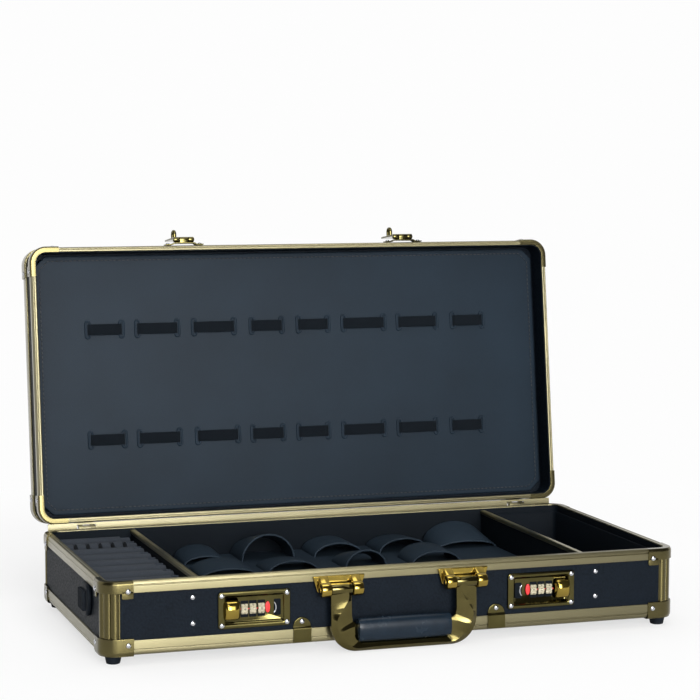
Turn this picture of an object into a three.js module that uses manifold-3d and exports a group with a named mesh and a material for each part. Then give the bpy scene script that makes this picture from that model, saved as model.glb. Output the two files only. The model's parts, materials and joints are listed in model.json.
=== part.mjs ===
// Barber case: an aluminium-framed tool case, standing with its lid open.
// Millimetres, +Z up, the front faces -Y, +X is to the right of someone facing the front.
// Heights are measured from the underside of the bottom rail; the feet reach below it.
import * as THREE from 'three';
import { mergeVertices } from 'three/addons/utils/BufferGeometryUtils.js';
import Module from 'manifold-3d';

const wasm = await Module();
wasm.setup();

// Overall sizes
const CASE_WIDTH = 560;
const CASE_DEPTH = 278;
const BASE_HEIGHT = 67;
const LID_DEPTH = 50;
const CORNER_RADIUS = 16;
const LID_OPEN_ANGLE = THREE.MathUtils.degToRad(97.5);
const GAP = 0.3;

// Frame profiles and walls, shared by base and lid
const FRAME_SKIN = 1.2;
const RIM_WIDTH = 7.2;
const RIM_HEIGHT = 10.4;
const RIM_CHAMFER = 0.8;
const GROOVE_DEPTH = 0.6;
const GROOVE_FROM_TOP = 2.6;
const GROOVE_WIDTH = 1.2;
const RAIL_HEIGHT = 13.8;
const RAIL_FLANGE = 14;
const RAIL_GROOVE_HEIGHT = 4;
const EDGE_RAIL_HEIGHT = 18.4;
const WALL_INSET = FRAME_SKIN + GAP;
const WALL_INNER = RIM_WIDTH - FRAME_SKIN - GAP;
const FLOOR_THICKNESS = 4;
const LEAST_RADIUS = 1;

// Facets of round forms
const CORNER_STEPS = 4;
const CURVE_STEPS = 6;
const BAR_SIDES = 12;
const ROUND_SIDES = 20;
const FLUTE_SIDES = 8;

// Fused parts lap by this much, and cutting bodies reach this much past what they cut
const LAP = 1;

// Corner fittings
const POST_REACH = 17;
const POST_FLUTES = 5;
const POST_FLUTE_RADIUS = 1.3;
const CAP_REACH = 29;
const CAP_PROUD = 0.9;
const RIM_CAP_HEIGHT = 15;
const BOTTOM_CAP_HEIGHT = 15.6;
const FOOT_INSET = 13;
const FOOT_HEIGHT = 7.2;
const FOOT_TOP_RADIUS = 7.6;
const FOOT_BOTTOM_RADIUS = 6.4;
const FOOT_EDGE = 0.8;

// Compartments
const DIVIDER_FROM_LOCK = 20;
const DIVIDER_THICKNESS = 4;
const DIVIDER_BELOW_RIM = 5;
const DIVIDER_FLANGE = 13;
const DIVIDER_FLANGE_THICKNESS = 1.6;
const DIVIDER_FLANGE_BELOW_RIM = 1;
const TRIM_WIDTH = 7;
const TRIM_HEIGHT = 7;
const TRIM_ABOVE_DIVIDER = 2.5;
const TRIM_CHAMFER = 1;
const INSERT_CLEARANCE = 2;
const FOAM_BELOW_RIM = 8;
const FOAM_WAVE = 4;
const FOAM_PITCH = 30;
const FOAM_CREST_Y = 6;
const FOAM_STEPS = 44;
const FOAM_INSET = 6;
const FOAM_SLITS = 5;
const FOAM_SLIT_WIDTH = 3;
const FOAM_SLIT_LENGTH = 22;
const FOAM_SLIT_DEPTH = 22;
const FOAM_SLIT_FROM_SIDE = 12;
const FOAM_SLIT_FROM_REAR = 10;
const BIN_WALL = 2;
const BIN_BELOW_RIM = 7;
const LINER_THICKNESS = 28.7;
const STRAP_THICKNESS = 2.4;
const STRAP_LENGTH = 44;
const STRAP_FROM_WALL = 3.5;
const STRAP_ROW_GAP = 26;
const REAR_STRAP_X = [-126, -61, 13, 84, 153];
const REAR_STRAP_HALF_WIDTH = [22, 28, 26, 27, 33];
const REAR_STRAP_FRONT_RISE = [8, 26.5, 13.5, 14.5, 8];
const REAR_STRAP_REAR_RISE = [12, 17, 13, 10.5, 21];
const FRONT_STRAP_X = [-121, -56, 19, 93];
const FRONT_STRAP_HALF_WIDTH = [28, 26, 22, 26];
const FRONT_STRAP_FRONT_RISE = [8, 12, 18.5, 13];
const FRONT_STRAP_REAR_RISE = [11, 8, 9, 14];

// Combination locks, measured from the middle of the plate; u points inboard
const LOCK_FROM_BRACKET = 20.75;
const LOCK_PLATE = { width: 67.5, height: 33.5, thickness: 2.4, corner: 2 };
const LOCK_RECESS = { width: 56, height: 26.5, depth: 3.2, bevel: 2.2 };
const LOCK_BOX = { width: 58, height: 29, depth: 12.4 };
const DIAL_U = [-8.75, -0.85, 7.05];
const DIAL_WIDTH = 5.9;
const DIAL_RADIUS = 6.6;
const DIAL_EDGE = 0.6;
const DIAL_BORE = 1.9;
const DIAL_AXIS_DEPTH = 4.2;
const DIAL_NOTCHES = 10;
const SHAFT_RADIUS = 1.6;
const HASP_SLOT = { u: 20.5, width: 4.8, height: 15.2, depth: 9 };
const THUMB_SLIDE = { u: -21.2, width: 14.6, height: 17.4, rise: 5.2, edge: 0.8 };
const THUMB_TRAVEL = 3;
const THUMB_STEM = { width: 6, height: 7, depth: 2 };

// Hasps, measured in the lid from its rim plane
const HASP_PIN_DEPTH = 8.5;
const HASP_PIN_OUT = 6.3;
const HASP_PIN_RADIUS = 1.3;
const HASP_KNUCKLE_RADIUS = 2.8;
const HASP_WIDTH = 21;
const HASP_BASE_WIDTH = 40;
const HASP_BASE_HEIGHT = 10;
const HASP_BASE_THICKNESS = 1.4;
const HASP_ARCH_HALF = 11;
const HASP_ARCH_SLOPE = 2;
const HASP_MIDDLE_KNUCKLE = 9;
const TONGUE_THICKNESS = 1.8;
const TONGUE_PAST_STAPLE = 2.4;
const TONGUE_CORNER = 4;
const TONGUE_LIP = 1.6;
const TONGUE_LIP_THICKNESS = 1;
const STAPLE = { height: 9.6, length: 10.6, width: 3.8, bar: 2.6 };

// Handle, measured down from its pivot
const BRACKET_X = 60.5;
const BRACKET_TOP_WIDTH = 50;
const BRACKET_BOTTOM_WIDTH = 40;
const BRACKET_THICKNESS = 2.2;
const BRACKET_EDGE = 0.4;
const BRACKET_BELOW_RIM = 5.5;
const BRACKET_HEIGHT = 15.5;
const PIVOT_OUT = 9.2;
const PIVOT_BELOW_RIM = 17;
const LUG_RADIUS = 6.6;
const LUG_WIDTH = 9.6;
const LUG_EDGE = 0.5;
const PIVOT_PIN_RADIUS = 2;
const ARM_INNER = 50.8;
const ARM_OUTER = 70.8;
const HANDLE_REACH = 58;
const HANDLE_CORNER = 25;
const HANDLE_THICKNESS = 4.4;
const HANDLE_EDGE = 0.8;
const EYE_RADIUS = 5;
const EYE_SHOULDER = 4;
const GRIP_HALF_LENGTH = 46.6;
const GRIP_TOP = 27.4;
const GRIP_BOTTOM = 50;
const GRIP_THICKNESS = 15;
const GRIP_CORNER = 7;
const GRIP_EDGE = 1.2;
const GRIP_ROD_RADIUS = 3;
const HANDLE_BAR = 7.2;

// Other fittings
const CLAMP = { fromBracket: 0.9, width: 17, aboveRail: 10.7, thickness: 1.2, under: 12 };
const ANCHOR = {
  fromFront: 63, aboveRail: 10.2, belowRim: 0.6, length: 34, rise: 7.6, corner: 11, edge: 1.6,
};
const ANCHOR_GROOVE = { width: 2.2, depth: 1.4, pitch: 6.8 };
const ANCHOR_SLOT = { width: 10, back: 2, bridge: 2.4 };
const HINGE_FROM_END = 47;
const HINGE_OUT = 6;
const HINGE_BELOW_RIM = 1.5;
const HINGE_KNUCKLE_RADIUS = 3.4;
const HINGE_PIN_RADIUS = 1.3;
const HINGE_WIDTH = 17;
const HINGE_MIDDLE = 7;
const HINGE_LEAF_HEIGHT = 18;
const HINGE_LEAF_THICKNESS = 1.5;
const HINGE_LID_LEAF_STEP = 1;
const HINGE_ARM_ROOT = 3;
const HINGE_ARM_RISE = 1.4;

// Lid inside
const BOARD_DEPTH = 24;
const BOARD_THICKNESS = 3;
const BOARD_LEDGE = 5;
const BOARD_CHAMFER = 11;
const BOARD_GAP = 2;
const SLIT_END = 1;
const BAND_HEIGHT = 11;
const BAND_THICKNESS = 1;
const BAND_RISE = 4.2;
const BAND_STEPS = 6;
const SLIT_WIDTH = 1.8;
const UPPER_BAND_S = 194.5;
const LOWER_BAND_S = 82;
const UPPER_LOOPS = [
  [-219.6, -184.3], [-167.8, -125.7], [-107.8, -65], [-45.8, -13.2],
  [5.4, 37.4], [55.1, 99.9], [117, 159.1], [178.6, 212.1],
];
const LOWER_LOOPS = [
  [-220.3, -185.1], [-169.2, -127.1], [-107.8, -65], [-48.3, -15.8],
  [1.8, 33.7], [51.5, 96.1], [113.2, 155.2], [173.7, 207],
];

const HALF_X = CASE_WIDTH / 2;
const HALF_Y = CASE_DEPTH / 2;
const HINGE_Y = HALF_Y + HINGE_OUT;
const HINGE_Z = BASE_HEIGHT - HINGE_BELOW_RIM;
const LID_RIM_Z = BASE_HEIGHT + GAP;
const FLOOR_TOP = FRAME_SKIN + GAP + FLOOR_THICKNESS;
const INNER_Y = HALF_Y - RIM_WIDTH - GAP;
const LOCK_SEAT_Y = -HALF_Y + WALL_INSET - GAP;
const BRACKET_END = BRACKET_X + BRACKET_TOP_WIDTH / 2;
const BRACKET_TOP = BASE_HEIGHT - BRACKET_BELOW_RIM;
const BRACKET_BOTTOM = BRACKET_TOP - BRACKET_HEIGHT;
const PIVOT_Z = BASE_HEIGHT - PIVOT_BELOW_RIM;
const LOCK_X = BRACKET_END + LOCK_FROM_BRACKET + LOCK_PLATE.width / 2;
const LOCK_Z = (RAIL_HEIGHT + BASE_HEIGHT - RIM_HEIGHT) / 2;
const HASP_X = LOCK_X - HASP_SLOT.u;
const TONGUE_TO_STAPLE = HASP_PIN_DEPTH + LID_RIM_Z - LOCK_Z;
const TONGUE_LENGTH = TONGUE_TO_STAPLE + TONGUE_PAST_STAPLE;
const HINGE_X = HALF_X - HINGE_FROM_END;
const DIVIDER_X = LOCK_X + LOCK_BOX.width / 2 + DIVIDER_FROM_LOCK;
const DIVIDER_TOP = BASE_HEIGHT - DIVIDER_BELOW_RIM;
const TRIM_TOP = DIVIDER_TOP + TRIM_ABOVE_DIVIDER;
const FOAM_TOP = BASE_HEIGHT - FOAM_BELOW_RIM;
const BIN_TOP = BASE_HEIGHT - BIN_BELOW_RIM;
const LINER_TOP = FLOOR_TOP + GAP + LINER_THICKNESS;
const LOCK_FLOOR = LOCK_RECESS.depth - LOCK_PLATE.thickness;

// Materials, coloured from the photograph
function finish(color, metalness, roughness) {
  return new THREE.MeshStandardMaterial({ color, metalness, roughness });
}

const GOLD = finish(0xc9bb86, 0.9, 0.3);
const BRASS = finish(0xc8a95a, 1, 0.2);
const PANEL = finish(0x1c242e, 0, 0.6);
const LEATHERETTE = finish(0x333d4a, 0, 0.7);
const FOAM = finish(0x2a2f36, 0, 0.95);
const RUBBER = finish(0x15181c, 0, 0.8);
const IVORY = finish(0xd9d3bd, 0, 0.5);

// Solids: closed meshes for joining and cutting
function closedSolid(positions, triangles) {
  let volume = 0;
  const corner = (index) => new THREE.Vector3().fromArray(positions, index * 3);
  for (let i = 0; i < triangles.length; i += 3) {
    const [a, b, c] = [corner(triangles[i]), corner(triangles[i + 1]), corner(triangles[i + 2])];
    volume += a.dot(b.cross(c));
  }
  const outward = volume > 0 ? triangles : triangles.slice().reverse();
  return new wasm.Manifold(new wasm.Mesh({
    numProp: 3,
    vertProperties: new Float32Array(positions),
    triVerts: new Uint32Array(outward),
  }));
}

function solid(geometry) {
  const bare = geometry.clone();
  bare.deleteAttribute('normal');
  bare.deleteAttribute('uv');
  const merged = mergeVertices(bare, 1e-4);
  return closedSolid(Array.from(merged.attributes.position.array), Array.from(merged.index.array));
}

function toGeometry(manifold) {
  const mesh = manifold.getMesh();
  const geometry = new THREE.BufferGeometry();
  geometry.setAttribute('position', new THREE.BufferAttribute(mesh.vertProperties, 3));
  geometry.setIndex(new THREE.BufferAttribute(mesh.triVerts, 1));
  geometry.computeVertexNormals();
  return geometry;
}

function box(low, high) {
  const geometry = new THREE.BoxGeometry(high[0] - low[0], high[1] - low[1], high[2] - low[2]);
  geometry.translate((low[0] + high[0]) / 2, (low[1] + high[1]) / 2, (low[2] + high[2]) / 2);
  return solid(geometry);
}

// A round bar along X from x0 to x1
function barX(radius, x0, x1, y, z, sides = BAR_SIDES) {
  const geometry = new THREE.CylinderGeometry(radius, radius, x1 - x0, sides);
  geometry.rotateZ(Math.PI / 2);
  geometry.translate((x0 + x1) / 2, y, z);
  return solid(geometry);
}

function drawnOut(shape, depth, bevel = 0) {
  const geometry = new THREE.ExtrudeGeometry(shape, {
    depth: depth - 2 * bevel,
    bevelEnabled: bevel > 0,
    bevelThickness: bevel,
    bevelSize: bevel,
    bevelOffset: -bevel,
    bevelSegments: 1,
    curveSegments: CURVE_STEPS,
  });
  return geometry.translate(0, 0, bevel);
}

// An outline in the (Y, Z) plane drawn out along X from x0 to x1
function prismX(shape, x0, x1, bevel) {
  return solid(drawnOut(shape, x1 - x0, bevel).applyMatrix4(new THREE.Matrix4().set(
    0, 0, 1, x0,
    1, 0, 0, 0,
    0, 1, 0, 0,
    0, 0, 0, 1,
  )));
}

// An outline in the (X, Z) plane drawn out along Y from y0 to y1
function prismY(shape, y0, y1, bevel) {
  return solid(drawnOut(shape, y1 - y0, bevel).applyMatrix4(new THREE.Matrix4().set(
    1, 0, 0, 0,
    0, 0, 1, y0,
    0, 1, 0, 0,
    0, 0, 0, 1,
  )));
}

// An outline in the (X, Y) plane drawn out along Z from z0 to z1
function prismZ(shape, z0, z1) {
  return solid(drawnOut(shape, z1 - z0).translate(0, 0, z0));
}

function polygon(points) {
  return new THREE.Shape(points.map(([a, b]) => new THREE.Vector2(a, b)));
}

function roundedRectangle(width, height, radius) {
  const shape = new THREE.Shape();
  const [x, y] = [width / 2, height / 2];
  shape.moveTo(-x + radius, -y);
  shape.lineTo(x - radius, -y);
  shape.absarc(x - radius, -y + radius, radius, -Math.PI / 2, 0);
  shape.lineTo(x, y - radius);
  shape.absarc(x - radius, y - radius, radius, 0, Math.PI / 2);
  shape.lineTo(-x + radius, y);
  shape.absarc(-x + radius, y - radius, radius, Math.PI / 2, Math.PI);
  shape.lineTo(-x, -y + radius);
  shape.absarc(-x + radius, -y + radius, radius, Math.PI, Math.PI * 1.5);
  return shape;
}

// The case's plan outline, a rounded rectangle, moved inward by an inset
function outlineLoop(halfX, halfY, inset) {
  const radius = Math.max(CORNER_RADIUS - inset, LEAST_RADIUS);
  const centres = [[1, 1], [-1, 1], [-1, -1], [1, -1]];
  const points = [];
  centres.forEach(([signX, signY], quarter) => {
    for (let step = 0; step <= CORNER_STEPS; step += 1) {
      const angle = (quarter + step / CORNER_STEPS) * Math.PI / 2;
      points.push([
        signX * (halfX - inset - radius) + radius * Math.cos(angle),
        signY * (halfY - inset - radius) + radius * Math.sin(angle),
      ]);
    }
  });
  return points;
}

// A profile of [inset, z] points swept once round the case's outline
function frameRing(profile, halfX = HALF_X, halfY = HALF_Y) {
  const positions = [];
  const triangles = [];
  const loops = profile.map(([inset]) => outlineLoop(halfX, halfY, inset));
  const count = loops[0].length;
  profile.forEach(([, z], row) => {
    loops[row].forEach(([x, y]) => positions.push(x, y, z));
  });
  for (let row = 0; row < profile.length; row += 1) {
    const next = (row + 1) % profile.length;
    for (let i = 0; i < count; i += 1) {
      const j = (i + 1) % count;
      const [a, b, c, d] = [row * count + i, row * count + j, next * count + j, next * count + i];
      triangles.push(a, b, c, a, c, d);
    }
  }
  return closedSolid(positions, triangles);
}

// One corner of such a ring, with the outer corner at the origin and the case towards -X and -Y
function cornerPiece(profile, reach) {
  const half = 2 * reach;
  const ring = frameRing(profile, half, half).translate([-half, -half, 0]);
  const heights = profile.map(([, z]) => z);
  const outermost = Math.max(...profile.map(([inset]) => -inset), 0) + LAP;
  const low = [-reach, -reach, Math.min(...heights) - LAP];
  const high = [outermost, outermost, Math.max(...heights) + LAP];
  return ring.intersect(box(low, high));
}

// A flat plate with the case's rounded outline
function outlinePlate(inset, z0, z1) {
  return prismZ(polygon(outlineLoop(HALF_X, HALF_Y, inset)), z0, z1);
}

function addPiece(parent, name, shape, material) {
  const mesh = new THREE.Mesh(toGeometry(shape), material);
  mesh.name = name;
  parent.add(mesh);
  return mesh;
}

// Mirrored pairs are built for the right-hand side and turned over for the left
function sidePair(side, shape) {
  return side > 0 ? shape : shape.mirror([1, 0, 0]);
}

const SIDES = [{ name: 'left', sign: -1 }, { name: 'right', sign: 1 }];

// The four corners, each with the turn that carries the +X +Y corner onto it
const CORNERS = [
  { name: 'rear_right', x: 1, y: 1, turn: 0 },
  { name: 'rear_left', x: -1, y: 1, turn: Math.PI / 2 },
  { name: 'front_left', x: -1, y: -1, turn: Math.PI },
  { name: 'front_right', x: 1, y: -1, turn: -Math.PI / 2 },
];

// Frame channel round an opening: lip is the rim plane, away is +1 or -1 for the way the channel runs
function rimProfile(lip, away) {
  const z = (depth) => lip + away * depth;
  const groove = GROOVE_FROM_TOP + GROOVE_WIDTH;
  return [
    [0, z(RIM_HEIGHT)],
    [0, z(groove)],
    [GROOVE_DEPTH, z(groove)],
    [GROOVE_DEPTH, z(GROOVE_FROM_TOP)],
    [0, z(GROOVE_FROM_TOP)],
    [0, z(RIM_CHAMFER)],
    [RIM_CHAMFER, z(0)],
    [RIM_WIDTH - RIM_CHAMFER, z(0)],
    [RIM_WIDTH, z(RIM_CHAMFER)],
    [RIM_WIDTH, z(RIM_HEIGHT)],
    [RIM_WIDTH - FRAME_SKIN, z(RIM_HEIGHT)],
    [RIM_WIDTH - FRAME_SKIN, z(FRAME_SKIN)],
    [FRAME_SKIN, z(FRAME_SKIN)],
    [FRAME_SKIN, z(RIM_HEIGHT)],
  ];
}

// Angle rail round an outer edge: edge is the outer plane, away points into the case
function edgeRailProfile(edge, away, height, grooveAt) {
  const z = (depth) => edge + away * depth;
  return [
    [0, z(height)],
    [0, z(grooveAt + GROOVE_WIDTH)],
    [GROOVE_DEPTH, z(grooveAt + GROOVE_WIDTH)],
    [GROOVE_DEPTH, z(grooveAt)],
    [0, z(grooveAt)],
    [0, z(RIM_CHAMFER)],
    [RIM_CHAMFER, z(0)],
    [RAIL_FLANGE, z(0)],
    [RAIL_FLANGE, z(FRAME_SKIN)],
    [FRAME_SKIN, z(FRAME_SKIN)],
    [FRAME_SKIN, z(height)],
  ];
}

// Stamped corner brackets, fused to the frame that carries them
function withCornerBrackets(frame, profile) {
  return CORNERS.reduce((body, corner) => {
    const bracket = cornerPiece(profile, CAP_REACH)
      .rotate([0, 0, THREE.MathUtils.radToDeg(corner.turn)])
      .translate([corner.x * HALF_X, corner.y * HALF_Y, 0]);
    return body.add(bracket);
  }, frame);
}

function bracketProfile(lip, away) {
  return [
    [-CAP_PROUD, lip + away * RIM_CAP_HEIGHT],
    [-CAP_PROUD, lip + away * RIM_CHAMFER],
    [GROOVE_DEPTH / 2, lip + away * RIM_CHAMFER],
    [GROOVE_DEPTH / 2, lip + away * (RIM_HEIGHT - GROOVE_DEPTH)],
    [0, lip + away * RIM_HEIGHT],
    [0, lip + away * RIM_CAP_HEIGHT],
  ];
}

// Base shell
function buildBaseShell(base) {
  const wallBottom = FRAME_SKIN + GAP;
  const wallTop = BASE_HEIGHT - FRAME_SKIN - GAP;
  const endX = HALF_X - POST_REACH - GAP;
  const endY = HALF_Y - POST_REACH - GAP;
  const outerY = HALF_Y - WALL_INSET;
  const innerY = HALF_Y - WALL_INNER;
  const outerX = HALF_X - WALL_INSET;
  const innerX = HALF_X - WALL_INNER;

  let front = box([-endX, -outerY, wallBottom], [endX, -innerY, wallTop]);
  SIDES.forEach(({ sign }) => {
    const halfWidth = LOCK_BOX.width / 2 + GAP;
    const halfHeight = LOCK_BOX.height / 2 + GAP;
    front = front.subtract(box(
      [sign * LOCK_X - halfWidth, -HALF_Y, LOCK_Z - halfHeight],
      [sign * LOCK_X + halfWidth, -innerY + LAP, LOCK_Z + halfHeight],
    ));
  });
  addPiece(base, 'base_front_panel', front, PANEL);
  addPiece(base, 'base_rear_panel', box([-endX, innerY, wallBottom], [endX, outerY, wallTop]), PANEL);
  addPiece(base, 'base_right_panel', box([innerX, -endY, wallBottom], [outerX, endY, wallTop]), PANEL);
  addPiece(base, 'base_left_panel', box([-outerX, -endY, wallBottom], [-innerX, endY, wallTop]), PANEL);
  addPiece(base, 'base_floor_panel', outlinePlate(WALL_INNER + GAP, wallBottom, FLOOR_TOP), PANEL);

  const rim = withCornerBrackets(
    frameRing(rimProfile(BASE_HEIGHT, -1)),
    bracketProfile(BASE_HEIGHT, -1),
  );
  addPiece(base, 'base_rim_frame', rim, GOLD);
  addPiece(base, 'base_bottom_rail', frameRing(edgeRailProfile(0, 1, RAIL_HEIGHT, RAIL_GROOVE_HEIGHT)), GOLD);
}

// Fluted posts, bottom caps and feet at the four corners
function buildCorners(base) {
  const postProfile = [
    [WALL_INSET, FRAME_SKIN + GAP],
    [WALL_INSET, RAIL_HEIGHT + GAP],
    [GAP, RAIL_HEIGHT + GAP],
    [GAP, BASE_HEIGHT - RIM_HEIGHT - GAP],
    [WALL_INSET, BASE_HEIGHT - RIM_HEIGHT - GAP],
    [WALL_INSET, BASE_HEIGHT - FRAME_SKIN - GAP],
    [WALL_INNER, BASE_HEIGHT - FRAME_SKIN - GAP],
    [WALL_INNER, FRAME_SKIN + GAP],
  ];
  let post = cornerPiece(postProfile, POST_REACH);
  for (let i = 0; i < POST_FLUTES; i += 1) {
    const angle = ((i + 0.5) / POST_FLUTES) * Math.PI / 2;
    const distance = CORNER_RADIUS - GAP + POST_FLUTE_RADIUS / 2;
    const flute = new THREE.CylinderGeometry(POST_FLUTE_RADIUS, POST_FLUTE_RADIUS, BASE_HEIGHT, FLUTE_SIDES);
    flute.rotateX(Math.PI / 2);
    flute.translate(
      -CORNER_RADIUS + distance * Math.cos(angle),
      -CORNER_RADIUS + distance * Math.sin(angle),
      BASE_HEIGHT / 2 + RAIL_HEIGHT,
    );
    post = post.subtract(solid(flute));
  }
  const capTop = BOTTOM_CAP_HEIGHT;
  const capProfile = [
    [-CAP_PROUD, capTop],
    [-CAP_PROUD, RIM_CHAMFER - CAP_PROUD],
    [RIM_CHAMFER - CAP_PROUD, -CAP_PROUD - GAP],
    [RAIL_FLANGE, -CAP_PROUD - GAP],
    [RAIL_FLANGE, -GAP],
    [RIM_CHAMFER, -GAP],
    [-GAP, RIM_CHAMFER],
    [-GAP, capTop],
  ];
  const cap = cornerPiece(capProfile, CAP_REACH);
  const footTop = -CAP_PROUD - GAP;
  const footBottom = footTop - FOOT_HEIGHT;
  const foot = new THREE.LatheGeometry([
    new THREE.Vector2(0, footBottom),
    new THREE.Vector2(FOOT_BOTTOM_RADIUS - FOOT_EDGE, footBottom),
    new THREE.Vector2(FOOT_BOTTOM_RADIUS, footBottom + FOOT_EDGE),
    new THREE.Vector2(FOOT_TOP_RADIUS, footTop),
    new THREE.Vector2(0, footTop),
  ], ROUND_SIDES);
  foot.rotateX(Math.PI / 2);
  const footSolid = solid(foot);
  CORNERS.forEach((corner) => {
    const place = (mesh) => {
      mesh.position.set(corner.x * HALF_X, corner.y * HALF_Y, 0);
      mesh.rotation.z = corner.turn;
    };
    place(addPiece(base, `corner_post_${corner.name}`, post, GOLD));
    place(addPiece(base, `bottom_corner_cap_${corner.name}`, cap, GOLD));
    const pad = addPiece(base, `foot_${corner.name}`, footSolid, RUBBER);
    pad.position.set(corner.x * (HALF_X - FOOT_INSET), corner.y * (HALF_Y - FOOT_INSET), 0);
  });
}

// Dividers with end flanges, and their gold channel trims
function buildDividers(base) {
  SIDES.forEach(({ name, sign }) => {
    const half = DIVIDER_THICKNESS / 2;
    const flangeTop = BASE_HEIGHT - RIM_HEIGHT - DIVIDER_FLANGE_BELOW_RIM;
    const flangeY = HALF_Y - WALL_INNER - GAP;
    let divider = box([-half, -INNER_Y, FLOOR_TOP + GAP], [half, INNER_Y, DIVIDER_TOP]);
    [-1, 1].forEach((end) => {
      const ys = [end * flangeY, end * (flangeY - DIVIDER_FLANGE_THICKNESS)].sort((a, b) => a - b);
      divider = divider.add(box([-half, ys[0], FLOOR_TOP + GAP], [DIVIDER_FLANGE, ys[1], flangeTop]));
    });
    addPiece(base, `divider_${name}`, sidePair(sign, divider), LEATHERETTE).position.x = sign * DIVIDER_X;
    const inner = half + GAP;
    const outer = TRIM_WIDTH / 2;
    const trim = polygon([
      [-outer, TRIM_TOP - TRIM_HEIGHT],
      [-inner, TRIM_TOP - TRIM_HEIGHT],
      [-inner, DIVIDER_TOP + GAP],
      [inner, DIVIDER_TOP + GAP],
      [inner, TRIM_TOP - TRIM_HEIGHT],
      [outer, TRIM_TOP - TRIM_HEIGHT],
      [outer, TRIM_TOP - TRIM_CHAMFER],
      [outer - TRIM_CHAMFER, TRIM_TOP],
      [-outer + TRIM_CHAMFER, TRIM_TOP],
      [-outer, TRIM_TOP - TRIM_CHAMFER],
    ]);
    const channel = prismY(trim, -INNER_Y, INNER_Y);
    addPiece(base, `divider_trim_${name}`, channel, BRASS).position.x = sign * DIVIDER_X;
  });
}

// Convoluted foam for clippers in the left compartment
function buildFoam(base) {
  const inset = WALL_INNER + GAP + FOAM_INSET;
  const x0 = -HALF_X + inset;
  const x1 = -DIVIDER_X - DIVIDER_THICKNESS / 2 - 2 * GAP - TRIM_WIDTH / 2;
  const y0 = -INNER_Y + INSERT_CLEARANCE;
  const y1 = INNER_Y - INSERT_CLEARANCE;
  const shape = new THREE.Shape();
  shape.moveTo(y0, FLOOR_TOP + GAP);
  shape.lineTo(y1, FLOOR_TOP + GAP);
  for (let i = 0; i <= FOAM_STEPS; i += 1) {
    const y = y1 + (y0 - y1) * i / FOAM_STEPS;
    const wave = Math.cos(2 * Math.PI * (y - FOAM_CREST_Y) / FOAM_PITCH);
    shape.lineTo(y, FOAM_TOP - FOAM_WAVE + FOAM_WAVE * wave);
  }
  let foam = prismX(shape, x0, x1).intersect(outlinePlate(inset, 0, BASE_HEIGHT));
  const slitEnd = y1 - FOAM_SLIT_FROM_REAR;
  const span = x1 - x0 - 2 * FOAM_SLIT_FROM_SIDE;
  for (let i = 0; i < FOAM_SLITS; i += 1) {
    const x = x0 + FOAM_SLIT_FROM_SIDE + span * i / (FOAM_SLITS - 1);
    foam = foam.subtract(box(
      [x - FOAM_SLIT_WIDTH / 2, slitEnd - FOAM_SLIT_LENGTH, FOAM_TOP - FOAM_SLIT_DEPTH],
      [x + FOAM_SLIT_WIDTH / 2, slitEnd, BASE_HEIGHT],
    ));
  }
  addPiece(base, 'foam_block', foam, FOAM);
}

// One arched tool strap on the liner, whose front and rear edges rise by amounts of their own
function strapArch(x, halfWidth, frontRise, rearRise, front) {
  const inner = halfWidth - STRAP_THICKNESS;
  const shape = new THREE.Shape();
  shape.moveTo(-halfWidth, -LAP);
  shape.lineTo(-halfWidth, 0);
  shape.absellipse(0, 0, halfWidth, frontRise, Math.PI, 0, true);
  shape.lineTo(halfWidth, -LAP);
  shape.lineTo(inner, -LAP);
  shape.lineTo(inner, 0);
  shape.absellipse(0, 0, inner, frontRise - STRAP_THICKNESS, 0, Math.PI, false);
  shape.lineTo(-inner, -LAP);
  const arch = prismY(shape, 0, STRAP_LENGTH).warp((point) => {
    if (point[2] > 0) {
      point[2] *= 1 + (rearRise / frontRise - 1) * point[1] / STRAP_LENGTH;
    }
  });
  return arch.translate([x, front, LINER_TOP]);
}

// The padded liner with its two rows of sewn straps
function buildStrapLiner(base) {
  const halfX = DIVIDER_X - DIVIDER_THICKNESS / 2 - 4 * GAP;
  const lockBack = LOCK_SEAT_Y + LOCK_FLOOR + LOCK_BOX.depth;
  const rearRow = INNER_Y - STRAP_FROM_WALL - STRAP_LENGTH;
  const frontRow = rearRow - STRAP_ROW_GAP - STRAP_LENGTH;
  let liner = box(
    [-halfX, lockBack + INSERT_CLEARANCE, FLOOR_TOP + GAP],
    [halfX, INNER_Y - INSERT_CLEARANCE, LINER_TOP],
  );
  REAR_STRAP_X.forEach((x, i) => {
    const rises = [REAR_STRAP_FRONT_RISE[i], REAR_STRAP_REAR_RISE[i]];
    liner = liner.add(strapArch(x, REAR_STRAP_HALF_WIDTH[i], ...rises, rearRow));
  });
  FRONT_STRAP_X.forEach((x, i) => {
    const rises = [FRONT_STRAP_FRONT_RISE[i], FRONT_STRAP_REAR_RISE[i]];
    liner = liner.add(strapArch(x, FRONT_STRAP_HALF_WIDTH[i], ...rises, frontRow));
  });
  addPiece(base, 'strap_liner', liner, LEATHERETTE);
}

function buildBin(base) {
  const inset = WALL_INNER + GAP + INSERT_CLEARANCE;
  const bottom = FLOOR_TOP + GAP;
  const low = [DIVIDER_X + TRIM_WIDTH / 2 + 2 * GAP, -INNER_Y + INSERT_CLEARANCE, bottom];
  const high = [HALF_X, INNER_Y - INSERT_CLEARANCE, BIN_TOP];
  const outside = outlinePlate(inset, bottom, BIN_TOP).intersect(box(low, high));
  const hollow = outlinePlate(inset + BIN_WALL, bottom + BIN_WALL, BASE_HEIGHT).intersect(box(
    [low[0] + BIN_WALL, low[1] + BIN_WALL, 0],
    [high[0], high[1] - BIN_WALL, BASE_HEIGHT],
  ));
  addPiece(base, 'side_bin', outside.subtract(hollow), LEATHERETTE);
}

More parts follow.
